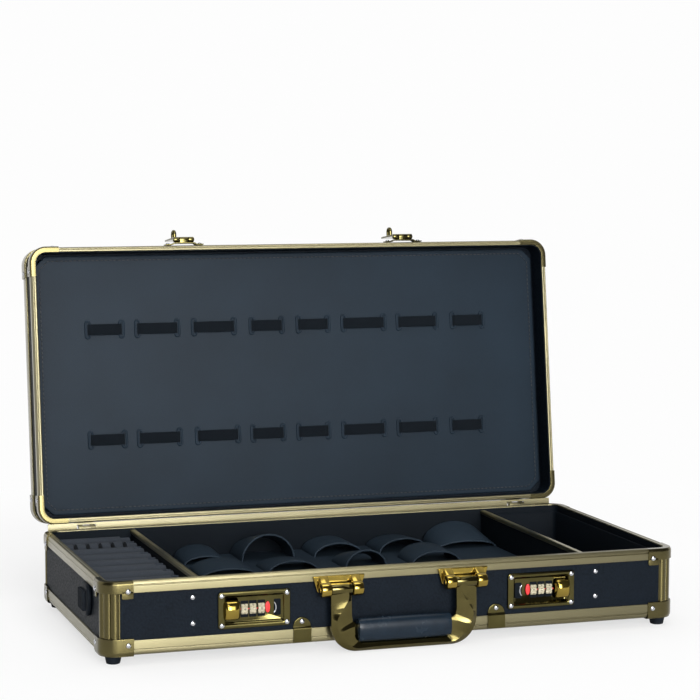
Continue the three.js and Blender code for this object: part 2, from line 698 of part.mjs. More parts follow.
// A recess that narrows towards its floor
function taperedBlock({ width, height, bevel }, front, back) {
  const geometry = new THREE.BoxGeometry(width, back - front, height);
  const position = geometry.attributes.position;
  for (let i = 0; i < position.count; i += 1) {
    if (position.getY(i) > 0) {
      position.setX(i, position.getX(i) - Math.sign(position.getX(i)) * bevel);
      position.setZ(i, position.getZ(i) - Math.sign(position.getZ(i)) * bevel);
    }
  }
  geometry.translate(0, (front + back) / 2, 0);
  return solid(geometry);
}

// Lock housing: Y = 0 is the back of the plate, -Y is outward, X points inboard
function lockHousing() {
  const front = -LOCK_PLATE.thickness;
  const floor = LOCK_FLOOR;
  const back = floor + LOCK_BOX.depth;
  let body = prismY(roundedRectangle(LOCK_PLATE.width, LOCK_PLATE.height, LOCK_PLATE.corner), front, 0);
  body = body.add(box(
    [-LOCK_BOX.width / 2, front + LAP, -LOCK_BOX.height / 2],
    [LOCK_BOX.width / 2, back, LOCK_BOX.height / 2],
  ));
  body = body.subtract(taperedBlock(LOCK_RECESS, front, floor));
  const axis = floor + DIAL_AXIS_DEPTH;
  DIAL_U.forEach((u) => {
    const half = DIAL_WIDTH / 2 + GAP;
    const radius = DIAL_RADIUS + GAP;
    body = body.subtract(box([u - half, floor - LAP, -radius], [u + half, axis + radius, radius]));
  });
  body = body.add(barX(SHAFT_RADIUS, DIAL_U[0] - DIAL_WIDTH, DIAL_U[2] + DIAL_WIDTH, axis, 0));
  body = body.subtract(box(
    [HASP_SLOT.u - HASP_SLOT.width / 2, floor - LAP, -HASP_SLOT.height / 2],
    [HASP_SLOT.u + HASP_SLOT.width / 2, floor + HASP_SLOT.depth, HASP_SLOT.height / 2],
  ));
  const stemHalf = THUMB_STEM.width / 2 + GAP;
  const trackHalf = THUMB_STEM.height / 2 + GAP;
  return body.subtract(box(
    [THUMB_SLIDE.u - THUMB_TRAVEL - stemHalf, front - LAP, -trackHalf],
    [THUMB_SLIDE.u + stemHalf, floor + THUMB_STEM.depth + GAP, trackHalf],
  ));
}

// A number dial, with two facets for each of its numbers
function dialDrum() {
  const half = DIAL_WIDTH / 2;
  const profile = [
    [DIAL_BORE, -half], [DIAL_RADIUS - DIAL_EDGE, -half], [DIAL_RADIUS, -half + DIAL_EDGE],
    [DIAL_RADIUS, half - DIAL_EDGE], [DIAL_RADIUS - DIAL_EDGE, half], [DIAL_BORE, half], [DIAL_BORE, -half],
  ];
  const points = profile.map(([r, z]) => new THREE.Vector2(r, z));
  const geometry = new THREE.LatheGeometry(points, 2 * DIAL_NOTCHES);
  geometry.rotateZ(Math.PI / 2);
  return solid(geometry);
}

// The barrel-shaped slide that frees the hasp
function thumbSlide() {
  const { width, height, rise, edge } = THUMB_SLIDE;
  const front = -LOCK_PLATE.thickness - GAP;
  const shape = new THREE.Shape();
  shape.moveTo(front, -height / 2);
  shape.absellipse(front, 0, rise, height / 2, -Math.PI / 2, Math.PI / 2, true);
  const barrel = prismX(shape, -width / 2, width / 2, edge);
  return barrel.add(box(
    [-THUMB_STEM.width / 2, front - LAP, -THUMB_STEM.height / 2],
    [THUMB_STEM.width / 2, LOCK_FLOOR + THUMB_STEM.depth, THUMB_STEM.height / 2],
  ));
}

function buildLocks(base) {
  SIDES.forEach(({ name, sign }) => {
    const lock = new THREE.Group();
    lock.position.set(sign * LOCK_X, LOCK_SEAT_Y, LOCK_Z);
    base.add(lock);
    addPiece(lock, `lock_housing_${name}`, sidePair(-sign, lockHousing()), BRASS);
    DIAL_U.forEach((u, index) => {
      const dial = addPiece(lock, `lock_dial_${name}_${index + 1}`, dialDrum(), IVORY);
      dial.position.set(-sign * u, LOCK_FLOOR + DIAL_AXIS_DEPTH, 0);
    });
    const slide = addPiece(lock, `thumb_slide_${name}`, sidePair(-sign, thumbSlide()), BRASS);
    slide.position.x = -sign * THUMB_SLIDE.u;
  });
}

// Handle bracket: X = 0 is its middle, Y and Z are the case's own
function handleBracket() {
  const back = -HALF_Y - GAP;
  const front = back - BRACKET_THICKNESS;
  const pivotY = -HALF_Y - PIVOT_OUT;
  const plate = polygon([
    [-BRACKET_TOP_WIDTH / 2, BRACKET_TOP],
    [-BRACKET_BOTTOM_WIDTH / 2, BRACKET_BOTTOM],
    [BRACKET_BOTTOM_WIDTH / 2, BRACKET_BOTTOM],
    [BRACKET_TOP_WIDTH / 2, BRACKET_TOP],
  ]);
  let body = prismY(plate, front, back, BRACKET_EDGE);
  const lug = new THREE.Shape();
  lug.moveTo(front + LAP, BRACKET_BOTTOM + LAP);
  lug.lineTo(pivotY, PIVOT_Z - LUG_RADIUS);
  lug.absarc(pivotY, PIVOT_Z, LUG_RADIUS, -Math.PI / 2, Math.PI / 2, true);
  lug.lineTo(front + LAP, BRACKET_TOP - LAP);
  const outer = BRACKET_BOTTOM_WIDTH / 2;
  [-1, 1].forEach((side) => {
    const xs = [side * outer, side * (outer - LUG_WIDTH)].sort((a, b) => a - b);
    body = body.add(prismX(lug, xs[0], xs[1], LUG_EDGE));
  });
  return body.add(barX(PIVOT_PIN_RADIUS, -outer + LAP, outer - LAP, pivotY, PIVOT_Z));
}

// Lean of the hanging handle: none, or as much as keeps a longer one just above what the feet stand on
function handleLean() {
  const floorZ = -CAP_PROUD - GAP - FOOT_HEIGHT;
  const drop = PIVOT_Z - floorZ - GAP;
  const half = HANDLE_THICKNESS / 2;
  const reach = Math.hypot(HANDLE_REACH, half);
  return drop > reach ? 0 : Math.atan2(half, HANDLE_REACH) + Math.acos(drop / reach);
}

// Handle bail, hanging down -Z from the pivot axis at its origin
function handleBail() {
  const half = HANDLE_THICKNESS / 2;
  const bendX = ARM_OUTER - HANDLE_CORNER;
  const bendZ = HANDLE_CORNER - HANDLE_REACH;
  const shape = new THREE.Shape();
  shape.moveTo(-ARM_OUTER, 0);
  shape.lineTo(-ARM_OUTER, bendZ);
  shape.absarc(-bendX, bendZ, HANDLE_CORNER, Math.PI, Math.PI * 1.5);
  shape.lineTo(bendX, -HANDLE_REACH);
  shape.absarc(bendX, bendZ, HANDLE_CORNER, -Math.PI / 2, 0);
  shape.lineTo(ARM_OUTER, 0);
  shape.lineTo(ARM_INNER, 0);
  shape.lineTo(ARM_INNER, -GRIP_TOP + GAP);
  shape.lineTo(GRIP_HALF_LENGTH + GAP, -GRIP_TOP - GAP);
  shape.lineTo(GRIP_HALF_LENGTH + GAP, -HANDLE_REACH + HANDLE_BAR);
  shape.lineTo(-GRIP_HALF_LENGTH - GAP, -HANDLE_REACH + HANDLE_BAR);
  shape.lineTo(-GRIP_HALF_LENGTH - GAP, -GRIP_TOP - GAP);
  shape.lineTo(-ARM_INNER, -GRIP_TOP + GAP);
  shape.lineTo(-ARM_INNER, 0);
  let body = prismY(shape, -half, half, HANDLE_EDGE);
  const gripZ = -(GRIP_TOP + GRIP_BOTTOM) / 2;
  body = body.add(barX(GRIP_ROD_RADIUS, -ARM_INNER, ARM_INNER, 0, gripZ));
  const lugInner = BRACKET_BOTTOM_WIDTH / 2 - LUG_WIDTH;
  const armWidth = ARM_OUTER - ARM_INNER;
  const cutLow = -EYE_RADIUS - EYE_SHOULDER;
  SIDES.forEach(({ sign }) => {
    const x0 = sign * BRACKET_X - lugInner + GAP;
    const x1 = sign * BRACKET_X + lugInner - GAP;
    body = body.subtract(box([x1, -EYE_RADIUS, cutLow], [x1 + armWidth, EYE_RADIUS, EYE_RADIUS]));
    body = body.subtract(box([x0 - armWidth, -EYE_RADIUS, cutLow], [x0, EYE_RADIUS, EYE_RADIUS]));
    body = body.add(barX(EYE_RADIUS, x0, x1, 0, 0, ROUND_SIDES));
  });
  SIDES.forEach(({ sign }) => {
    const x = sign * BRACKET_X;
    body = body.subtract(barX(PIVOT_PIN_RADIUS + GAP, x - armWidth, x + armWidth, 0, 0));
  });
  return body;
}

function handleGrip() {
  const gripZ = -(GRIP_TOP + GRIP_BOTTOM) / 2;
  const section = roundedRectangle(GRIP_THICKNESS, GRIP_BOTTOM - GRIP_TOP, GRIP_CORNER);
  const grip = prismX(section, -GRIP_HALF_LENGTH, GRIP_HALF_LENGTH, GRIP_EDGE);
  const bore = barX(GRIP_ROD_RADIUS + GAP, -GRIP_HALF_LENGTH - LAP, GRIP_HALF_LENGTH + LAP, 0, 0);
  return grip.subtract(bore).translate([0, 0, gripZ]);
}

function buildHandle(base) {
  SIDES.forEach(({ name, sign }) => {
    const bracket = addPiece(base, `handle_bracket_${name}`, handleBracket(), BRASS);
    bracket.position.x = sign * BRACKET_X;
  });
  const handle = new THREE.Group();
  handle.position.set(0, -HALF_Y - PIVOT_OUT, PIVOT_Z);
  handle.rotation.x = -handleLean();
  base.add(handle);
  addPiece(handle, 'handle_bail', handleBail(), BRASS);
  addPiece(handle, 'handle_grip', handleGrip(), RUBBER);
}

// Clamps that lap the front panel's lower edge and hook under the rail
function buildEdgeClamps(base) {
  const { width, thickness, under } = CLAMP;
  const x = BRACKET_END + CLAMP.fromBracket + width / 2;
  const top = RAIL_HEIGHT + CLAMP.aboveRail;
  const front = -HALF_Y - GAP - thickness;
  const shape = new THREE.Shape();
  shape.moveTo(-width / 2, -GAP - thickness);
  shape.lineTo(width / 2, -GAP - thickness);
  shape.lineTo(width / 2, top - width / 2);
  shape.absarc(0, top - width / 2, width / 2, 0, Math.PI);
  const plate = prismY(shape, front, front + thickness);
  const hook = box([-width / 2, front, -GAP - thickness], [width / 2, -HALF_Y + under, -GAP]);
  SIDES.forEach(({ name, sign }) => {
    addPiece(base, `edge_clamp_${name}`, plate.add(hook), BRASS).position.x = sign * x;
  });
}

// Moulded shoulder-strap anchors on the side walls, with an upright slot behind a bridge
function buildStrapAnchors(base) {
  const { length, rise, corner, edge } = ANCHOR;
  const bottom = RAIL_HEIGHT + ANCHOR.aboveRail;
  const height = BASE_HEIGHT - RIM_HEIGHT - ANCHOR.belowRim - bottom;
  const seat = HALF_X - WALL_INSET + GAP;
  let anchor = prismX(roundedRectangle(length, height, corner), 0, rise, edge);
  const grooveHalf = ANCHOR_GROOVE.width / 2;
  [-1, 0, 1].forEach((step) => {
    const y = step * ANCHOR_GROOVE.pitch;
    anchor = anchor.subtract(box(
      [rise - ANCHOR_GROOVE.depth, y - grooveHalf, -height],
      [rise + LAP, y + grooveHalf, height],
    ));
  });
  anchor = anchor.subtract(box(
    [ANCHOR_SLOT.back, -ANCHOR_SLOT.width / 2, -height],
    [rise - ANCHOR_SLOT.bridge, ANCHOR_SLOT.width / 2, height],
  ));
  SIDES.forEach(({ name, sign }) => {
    const piece = addPiece(base, `strap_anchor_${name}`, sidePair(sign, anchor), RUBBER);
    piece.position.set(sign * seat, -HALF_Y + ANCHOR.fromFront, bottom + height / 2);
  });
}

// Hinge leaf on the rear face: up is +1 for the lid's leaf and -1 for the base's
function hingeLeaf(up, plateFrom) {
  const seat = -HINGE_OUT + GAP;
  const near = up * plateFrom;
  const far = up * (plateFrom + HINGE_LEAF_HEIGHT);
  const plate = polygon([
    [seat, near], [seat + HINGE_LEAF_THICKNESS, near],
    [seat + HINGE_LEAF_THICKNESS, far], [seat, far],
  ]);
  const arm = polygon([
    [seat, near], [seat, near + up * HINGE_ARM_ROOT],
    [HINGE_KNUCKLE_RADIUS - HINGE_LEAF_THICKNESS, up * HINGE_ARM_RISE], [0, 0],
  ]);
  const half = HINGE_WIDTH / 2;
  const middle = HINGE_MIDDLE / 2;
  const spans = up > 0 ? [[-half, -middle - GAP], [middle + GAP, half]] : [[-middle, middle]];
  let body = prismX(plate, -half, half);
  spans.forEach(([x0, x1]) => {
    body = body.add(prismX(arm, x0, x1)).add(barX(HINGE_KNUCKLE_RADIUS, x0, x1, 0, 0));
  });
  if (up > 0) {
    return body.subtract(barX(HINGE_PIN_RADIUS + GAP, -half - LAP, half + LAP, 0, 0));
  }
  return body.add(barX(HINGE_PIN_RADIUS, -half, half, 0, 0));
}

function buildBaseHinges(base) {
  SIDES.forEach(({ name, sign }) => {
    const leaf = addPiece(base, `hinge_base_leaf_${name}`, hingeLeaf(-1, HINGE_KNUCKLE_RADIUS), GOLD);
    leaf.position.set(sign * HINGE_X, HINGE_Y, HINGE_Z);
  });
}

// Lid: its rim plane is Z = 0 and its outer face Z = LID_DEPTH, in the closed position
function buildLidShell(lid) {
  const panelTop = LID_DEPTH - FRAME_SKIN - GAP;
  const panelBottom = panelTop - FLOOR_THICKNESS;
  const boardBack = BOARD_DEPTH + BOARD_THICKNESS + GAP;
  const wall = frameRing([
    [WALL_INSET, FRAME_SKIN + GAP],
    [WALL_INSET, panelBottom - GAP],
    [WALL_INNER + BOARD_LEDGE, panelBottom - GAP],
    [WALL_INNER + BOARD_LEDGE, boardBack],
    [WALL_INNER, boardBack],
    [WALL_INNER, FRAME_SKIN + GAP],
  ]);
  addPiece(lid, 'lid_wall_frame', wall, PANEL);
  addPiece(lid, 'lid_outer_panel', outlinePlate(WALL_INSET, panelBottom, panelTop), PANEL);
  const rim = withCornerBrackets(frameRing(rimProfile(0, 1)), bracketProfile(0, 1));
  addPiece(lid, 'lid_rim_frame', rim, GOLD);
  const grooveAt = EDGE_RAIL_HEIGHT - RAIL_GROOVE_HEIGHT;
  const rail = withCornerBrackets(
    frameRing(edgeRailProfile(LID_DEPTH, -1, EDGE_RAIL_HEIGHT, grooveAt)),
    [
      [-CAP_PROUD, LID_DEPTH - EDGE_RAIL_HEIGHT],
      [-CAP_PROUD, LID_DEPTH],
      [CAP_PROUD, LID_DEPTH + CAP_PROUD],
      [RAIL_FLANGE, LID_DEPTH + CAP_PROUD],
      [RAIL_FLANGE, LID_DEPTH - GROOVE_DEPTH / 2],
      [GROOVE_DEPTH / 2, LID_DEPTH - GROOVE_DEPTH / 2],
      [GROOVE_DEPTH / 2, LID_DEPTH - EDGE_RAIL_HEIGHT],
    ],
  );
  addPiece(lid, 'lid_edge_rail', rail, GOLD);
}

// Distance from the hinge-side edge of the lid to its own Y
function fromHingeEdge(s) {
  return HALF_Y - s;
}

function boardShape() {
  const x = HALF_X - WALL_INNER - BOARD_GAP;
  const y = HALF_Y - WALL_INNER - BOARD_GAP;
  const c = BOARD_CHAMFER;
  return polygon([
    [-x + c, -y], [x - c, -y], [x, -y + c], [x, y - c], [x - c, y], [-x + c, y], [-x, y - c], [-x, -y + c],
  ]);
}

// The row of slits that one length of elastic is threaded through
function cutSlits(board, loops, s) {
  const y = fromHingeEdge(s);
  const half = BAND_HEIGHT / 2 + SLIT_END;
  return loops.flat().reduce((body, x) => body.subtract(box(
    [x - SLIT_WIDTH / 2, y - half, 0],
    [x + SLIT_WIDTH / 2, y + half, LID_DEPTH],
  )), board);
}

// One length of elastic, threaded in and out of the board's slits
function elasticRow(loops, s) {
  const behind = BOARD_DEPTH + BOARD_THICKNESS + GAP;
  const half = BAND_THICKNESS / 2;
  const outerSide = [];
  const boardSide = [];
  loops.forEach(([x0, x1]) => {
    outerSide.push([x0 - half, behind], [x0 - half, BOARD_DEPTH - half]);
    boardSide.push([x0 + half, behind + BAND_THICKNESS], [x0 + half, BOARD_DEPTH]);
    for (let i = 1; i < BAND_STEPS; i += 1) {
      const share = i / BAND_STEPS;
      const x = x0 + (x1 - x0) * share;
      const rise = BAND_RISE * Math.sqrt(Math.sin(Math.PI * share));
      outerSide.push([x, BOARD_DEPTH - rise - BAND_THICKNESS]);
      boardSide.push([x, BOARD_DEPTH - rise]);
    }
    outerSide.push([x1 + half, BOARD_DEPTH - half], [x1 + half, behind]);
    boardSide.push([x1 - half, BOARD_DEPTH], [x1 - half, behind + BAND_THICKNESS]);
  });
  const y = fromHingeEdge(s);
  const outline = polygon([...outerSide, ...boardSide.reverse()]);
  return prismY(outline, y - BAND_HEIGHT / 2, y + BAND_HEIGHT / 2);
}

function buildToolBoard(lid) {
  const board = prismZ(boardShape(), BOARD_DEPTH, BOARD_DEPTH + BOARD_THICKNESS);
  const upperCut = cutSlits(board, UPPER_LOOPS, UPPER_BAND_S);
  addPiece(lid, 'tool_board', cutSlits(upperCut, LOWER_LOOPS, LOWER_BAND_S), LEATHERETTE);
  addPiece(lid, 'elastic_row_upper', elasticRow(UPPER_LOOPS, UPPER_BAND_S), RUBBER);
  addPiece(lid, 'elastic_row_lower', elasticRow(LOWER_LOOPS, LOWER_BAND_S), RUBBER);
}

// Hasp base: the pin axis is the origin, -Y is outward and Z runs away from the rim plane
function haspBase() {
  const seat = HASP_PIN_OUT - GAP;
  const t = HASP_BASE_THICKNESS;
  const half = HASP_BASE_WIDTH / 2;
  const archTop = HASP_KNUCKLE_RADIUS + GAP;
  const arch = polygon([
    [-half, seat], [-half, seat - t], [-HASP_ARCH_HALF - HASP_ARCH_SLOPE, seat - t],
    [-HASP_ARCH_HALF, archTop], [HASP_ARCH_HALF, archTop],
    [HASP_ARCH_HALF + HASP_ARCH_SLOPE, seat - t], [half, seat - t], [half, seat],
    [HASP_ARCH_HALF + HASP_ARCH_SLOPE - t, seat], [HASP_ARCH_HALF - t, archTop + t],
    [-HASP_ARCH_HALF + t, archTop + t], [-HASP_ARCH_HALF - HASP_ARCH_SLOPE + t, seat],
  ]);
  const middle = HASP_MIDDLE_KNUCKLE / 2;
  return prismZ(arch, -HASP_BASE_HEIGHT / 2, HASP_BASE_HEIGHT / 2)
    .add(box([-middle, 0, -HASP_KNUCKLE_RADIUS], [middle, archTop + t / 2, HASP_KNUCKLE_RADIUS]))
    .add(barX(HASP_KNUCKLE_RADIUS, -middle, middle, 0, 0))
    .add(barX(HASP_PIN_RADIUS, -HASP_WIDTH / 2, HASP_WIDTH / 2, 0, 0));
}

// Hasp tongue, folded back along +Z from its pin, with its staple standing outward
function haspTongue() {
  const outer = -HASP_KNUCKLE_RADIUS;
  const half = HASP_WIDTH / 2;
  const middle = HASP_MIDDLE_KNUCKLE / 2 + GAP;
  const plate = new THREE.Shape();
  plate.moveTo(-half, 0);
  plate.lineTo(half, 0);
  plate.lineTo(half, TONGUE_LENGTH - TONGUE_CORNER);
  plate.absarc(half - TONGUE_CORNER, TONGUE_LENGTH - TONGUE_CORNER, TONGUE_CORNER, 0, Math.PI / 2);
  plate.absarc(-half + TONGUE_CORNER, TONGUE_LENGTH - TONGUE_CORNER, TONGUE_CORNER, Math.PI / 2, Math.PI);
  let body = prismY(plate, outer, outer + TONGUE_THICKNESS);
  body = body.add(barX(HASP_KNUCKLE_RADIUS, -half, half, 0, 0));
  body = body.subtract(box(
    [-middle, outer - LAP, -HASP_KNUCKLE_RADIUS - LAP],
    [middle, -outer + LAP, HASP_KNUCKLE_RADIUS + GAP],
  ));
  body = body.subtract(barX(HASP_PIN_RADIUS + GAP, -half - LAP, half + LAP, 0, 0));
  body = body.add(box(
    [-half + TONGUE_CORNER, outer, TONGUE_LENGTH - TONGUE_LIP_THICKNESS],
    [half - TONGUE_CORNER, outer + TONGUE_THICKNESS + TONGUE_LIP, TONGUE_LENGTH],
  ));
  return body.add(staple(outer));
}

// Staple loop that the lock's bolt passes through
function staple(plateOuter) {
  const reach = TONGUE_TO_STAPLE;
  const loop = (halfLength, top, foot) => {
    const shape = new THREE.Shape();
    shape.moveTo(foot, reach - halfLength);
    shape.lineTo(top + halfLength, reach - halfLength);
    shape.absarc(top + halfLength, reach, halfLength, -Math.PI / 2, Math.PI / 2, true);
    shape.lineTo(foot, reach + halfLength);
    return shape;
  };
  const top = plateOuter - STAPLE.height;
  const half = STAPLE.width / 2;
  const ring = prismX(loop(STAPLE.length / 2, top, plateOuter + LAP), -half, half);
  const inside = loop(STAPLE.length / 2 - STAPLE.bar, top + STAPLE.bar, plateOuter);
  const hole = prismX(inside, -half - LAP, half + LAP);
  return ring.subtract(hole);
}

function buildHasps(lid) {
  SIDES.forEach(({ name, sign }) => {
    const hasp = new THREE.Group();
    hasp.position.set(sign * HASP_X, -HALF_Y - HASP_PIN_OUT, HASP_PIN_DEPTH);
    lid.add(hasp);
    addPiece(hasp, `hasp_base_${name}`, haspBase(), BRASS);
    addPiece(hasp, `hasp_tongue_${name}`, haspTongue(), BRASS);
  });
}

function buildLid(assembly) {
  const hinge = new THREE.Group();
  hinge.position.set(0, HINGE_Y, HINGE_Z);
  hinge.rotation.x = -LID_OPEN_ANGLE;
  assembly.add(hinge);
  SIDES.forEach(({ name, sign }) => {
    const plateFrom = HINGE_KNUCKLE_RADIUS + HINGE_LID_LEAF_STEP;
    const leaf = addPiece(hinge, `hinge_lid_leaf_${name}`, hingeLeaf(1, plateFrom), GOLD);
    leaf.position.x = sign * HINGE_X;
  });
  const lid = new THREE.Group();
  lid.position.set(0, -HINGE_Y, LID_RIM_Z - HINGE_Z);
  hinge.add(lid);
  buildLidShell(lid);
  buildToolBoard(lid);
  buildHasps(lid);
}

function buildCase() {
  const assembly = new THREE.Group();
  buildBaseShell(assembly);
  buildCorners(assembly);
  buildDividers(assembly);
  buildFoam(assembly);
  buildStrapLiner(assembly);
  buildBin(assembly);
  buildLocks(assembly);
  buildHandle(assembly);
  buildEdgeClamps(assembly);
  buildStrapAnchors(assembly);
  buildBaseHinges(assembly);
  buildLid(assembly);
  return assembly;
}

// The case stands on Z = 0 with its bounding box centred over the origin
function standOnOrigin(assembly) {
  assembly.updateMatrixWorld(true);
  const bounds = new THREE.Box3().setFromObject(assembly, true);
  const middle = bounds.getCenter(new THREE.Vector3());
  assembly.position.set(-middle.x, -middle.y, -bounds.min.z);
  const group = new THREE.Group();
  group.add(assembly);
  return group;
}

export default standOnOrigin(buildCase());
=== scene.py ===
"""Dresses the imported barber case: metal frames, locks, hasps, handle, tool board, straps and studio."""
import json
import math

import bpy
import numpy as np
from bpy.props import FloatProperty, FloatVectorProperty, IntProperty, PointerProperty
from mathutils import Matrix, Vector


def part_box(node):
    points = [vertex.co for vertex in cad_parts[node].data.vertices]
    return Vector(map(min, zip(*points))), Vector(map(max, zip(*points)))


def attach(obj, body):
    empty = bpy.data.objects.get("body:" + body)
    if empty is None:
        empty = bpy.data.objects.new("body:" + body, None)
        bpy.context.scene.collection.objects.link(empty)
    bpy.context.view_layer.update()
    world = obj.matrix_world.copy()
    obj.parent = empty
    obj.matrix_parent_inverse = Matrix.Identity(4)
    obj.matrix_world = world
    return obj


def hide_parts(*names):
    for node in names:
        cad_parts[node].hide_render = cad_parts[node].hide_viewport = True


bl_info = {
    "name": "Barber case",
    "version": (1, 0, 0),
    "blender": (4, 5, 0),
    "location": "View3D > Sidebar > Case",
    "description": "Builds the finished surfaces of an aluminium-framed barber case on its packed frame",
    "category": "Object",
}

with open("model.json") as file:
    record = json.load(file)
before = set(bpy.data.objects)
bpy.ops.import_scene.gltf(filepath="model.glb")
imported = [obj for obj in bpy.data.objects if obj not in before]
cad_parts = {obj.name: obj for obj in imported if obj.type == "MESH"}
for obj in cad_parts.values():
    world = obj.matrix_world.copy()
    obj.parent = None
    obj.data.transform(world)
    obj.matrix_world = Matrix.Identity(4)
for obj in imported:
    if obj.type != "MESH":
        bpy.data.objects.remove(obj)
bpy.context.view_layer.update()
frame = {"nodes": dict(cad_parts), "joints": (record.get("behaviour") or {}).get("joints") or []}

MM = 0.001
SIDES = (("left", -1), ("right", 1))
JOINTS = {joint["name"]: joint for joint in frame["joints"]}


# Places: every part of the case is worked out in millimetres in a frame of its own

def turn_about_x(angle):
    """Rotation matrix for a turn by angle, in radians, about +X."""
    c, s = math.cos(angle), math.sin(angle)
    return np.array([[1, 0, 0], [0, c, -s], [0, s, c]])


class Place:
    """A millimetre frame: row point = pivot + turn * (local point - shift) * MM."""

    def __init__(self, pivot, angle=0.0, shift=(0, 0, 0)):
        self.pivot = np.array(pivot, float)
        self.turn = turn_about_x(angle)
        self.shift = np.array(shift, float)

    def to_row(self, points):
        return (np.asarray(points, float) - self.shift) @ self.turn.T * MM + self.pivot

    def from_row(self, points):
        return (np.asarray(points, float) - self.pivot) @ self.turn / MM + self.shift

    def extent(self, node):
        """Lowest and highest corner of a CAD node in this frame."""
        mesh = frame["nodes"][node].data
        points = np.empty(len(mesh.vertices) * 3)
        mesh.vertices.foreach_get("co", points)
        local = self.from_row(points.reshape(-1, 3))
        return local.min(axis=0), local.max(axis=0)

    def middle(self, node):
        low, high = self.extent(node)
        return (low + high) / 2


def find_places():
    """The base stands still; the lid and the handle have frames that turn with them."""
    low, high = (np.array(corner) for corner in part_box("base_bottom_rail"))
    middle = np.array([(low[0] + high[0]) / 2, (low[1] + high[1]) / 2, low[2]])
    base = Place(middle)
    hinge = JOINTS["lid_hinge"]
    pivot = np.array(hinge["pos_m"])
    angle = -math.radians(hinge["range_deg"][1])
    loose = Place(pivot, angle, base.from_row(pivot) * (1, 1, 0))
    rim_plane = loose.extent("lid_rim_frame")[0][2]
    lid = Place(pivot, angle, loose.shift - np.array([0, 0, rim_plane]))
    handle_joint = JOINTS["handle_pivot"]
    handle = Place(handle_joint["pos_m"], math.radians(handle_joint["range_deg"][0]))
    return base, lid, handle


BASE, LID, HANDLE = find_places()

RAIL_HIGH = BASE.extent("base_bottom_rail")[1]
RIM_HIGH = BASE.extent("base_rim_frame")[1]
EDGE_LOW, EDGE_HIGH = LID.extent("lid_edge_rail")
HALF_X = RAIL_HIGH[0]
HALF_Y = RAIL_HIGH[1]
BASE_TOP = RIM_HIGH[2]
CAP_PROUD = RIM_HIGH[0] - HALF_X
LID_TOP = EDGE_HIGH[2] - CAP_PROUD
RAIL_TOP = RAIL_HIGH[2]
EDGE_RAIL_LOW = EDGE_LOW[2]
RIM_HEIGHT = 10.4
RIM_WIDTH = 7.2
LID_RIM_WIDTH = 5.2
CORNER_RADIUS = 16.0
PANEL_INSET = 1.5
POST_REACH = 17.0
CAP_REACH = 29.0
BRACKET_HEIGHT = 10.8
CORNER_TURNS = ((1, 1), (-1, 1), (-1, -1), (1, -1))


# Sizes and colours that a user may change

LENGTHS = {
    "rivet_radius": ("Radius of the chrome rivet heads", 0.0024),
    "rivet_height": ("How far a rivet head stands out", 0.0011),
    "stitch_length": ("Length of one stitch on the tool board", 0.0034),
    "stitch_pitch": ("Distance from one stitch to the next", 0.0046),
    "pebble_size": ("Width of one pebble of the panels' grain", 0.0011),
    "grain_size": ("Width of one cell of the leatherette's grain", 0.0008),
}
COLOURS = {
    "gold": ("Champagne-gold anodised frame", (0.195, 0.174, 0.094)),
    # Painted shade: the corner colour is the frame gold darkened to stand for the dark reflections on the
    # posts, caps and brackets.
    "corner_gold": ("Corner posts, caps and brackets", (0.105, 0.089, 0.036)),
    "brass": ("Polished plated fittings", (0.30, 0.215, 0.045)),
    # Painted shade: the lock colour is the brass darkened to stand for the dark reflections on the plates,
    # hasps and clamps.
    "lock_gold": ("Dark polished lock plates, hasps and clamps", (0.095, 0.082, 0.030)),
    # Painted shade: the handle colour is the brass darkened to stand for the dark reflections on the bail.
    "bail_gold": ("Dark polished handle", (0.105, 0.088, 0.033)),
    "chrome": ("Rivet heads", (0.50, 0.51, 0.54)),
    "panel": ("Pebbled wall panels", (0.0034, 0.0060, 0.0098)),
    "leather": ("Leatherette of the tool board", (0.0080, 0.0150, 0.0235)),
    # Painted light: the straps' leatherette is a lighter copy of the board's, lifted because the straps lie
    # in shade inside the base.
    "strap": ("Tool straps and their liner", (0.0150, 0.0245, 0.0355)),
    "lining": ("Lining of the compartments", (0.0022, 0.0042, 0.0068)),
    "elastic": ("Elastic loops", (0.0020, 0.0034, 0.0052)),
    "thread": ("Stitches round the tool board", (0.0050, 0.0070, 0.0100)),
    "foam": ("Foam block", (0.016, 0.021, 0.029)),
    "rubber": ("Feet and side fittings", (0.006, 0.008, 0.011)),
    "grip": ("Padded handle grip", (0.0060, 0.0110, 0.0175)),
    "ivory": ("Number dials", (0.42, 0.38, 0.27)),
    "red": ("Red marks of the locks", (0.62, 0.012, 0.012)),
    "ink": ("Numerals on the dials", (0.012, 0.010, 0.008)),
    "floor": ("Studio floor", (0.90, 0.90, 0.90)),
}


def titled(name):
    """The words that the panel shows for a property."""
    return name.replace("_", " ").capitalize()


class CaseSizes(bpy.types.PropertyGroup):
    """Small sizes of the finish, in metres"""

    __annotations__ = {
        name: FloatProperty(name=titled(name), description=words, default=length, unit="LENGTH")
        for name, (words, length) in LENGTHS.items()}
    __annotations__["corner_steps"] = IntProperty(
        name="Corner steps", description="Facets in each rounded corner of the frames", default=14, min=4)


class CaseColours(bpy.types.PropertyGroup):
    """Colours of the finishes, as linear values"""

    __annotations__ = {
        name: FloatVectorProperty(name=titled(name), description=words, default=colour, subtype="COLOR")
        for name, (words, colour) in COLOURS.items()}


def sizes():
    return bpy.context.scene.case_sizes


def colours():
    return bpy.context.scene.case_colours


# Shader maths

class Value:
    """A float socket that adds, subtracts and multiplies as a Python number does."""

    def __init__(self, nodes, socket):
        self.nodes = nodes
        self.socket = socket

    def _maths(self, operation, first, second):
        return self.nodes.value("ShaderNodeMath", {"operation": operation}, {0: first, 1: second})

    def __add__(self, other):
        return self._maths("ADD", self, other)

    __radd__ = __add__

    def __sub__(self, other):
        return self._maths("SUBTRACT", self, other)

    def __rsub__(self, other):
        return self._maths("SUBTRACT", other, self)

    def __mul__(self, other):
        return self._maths("MULTIPLY", self, other)

    __rmul__ = __mul__


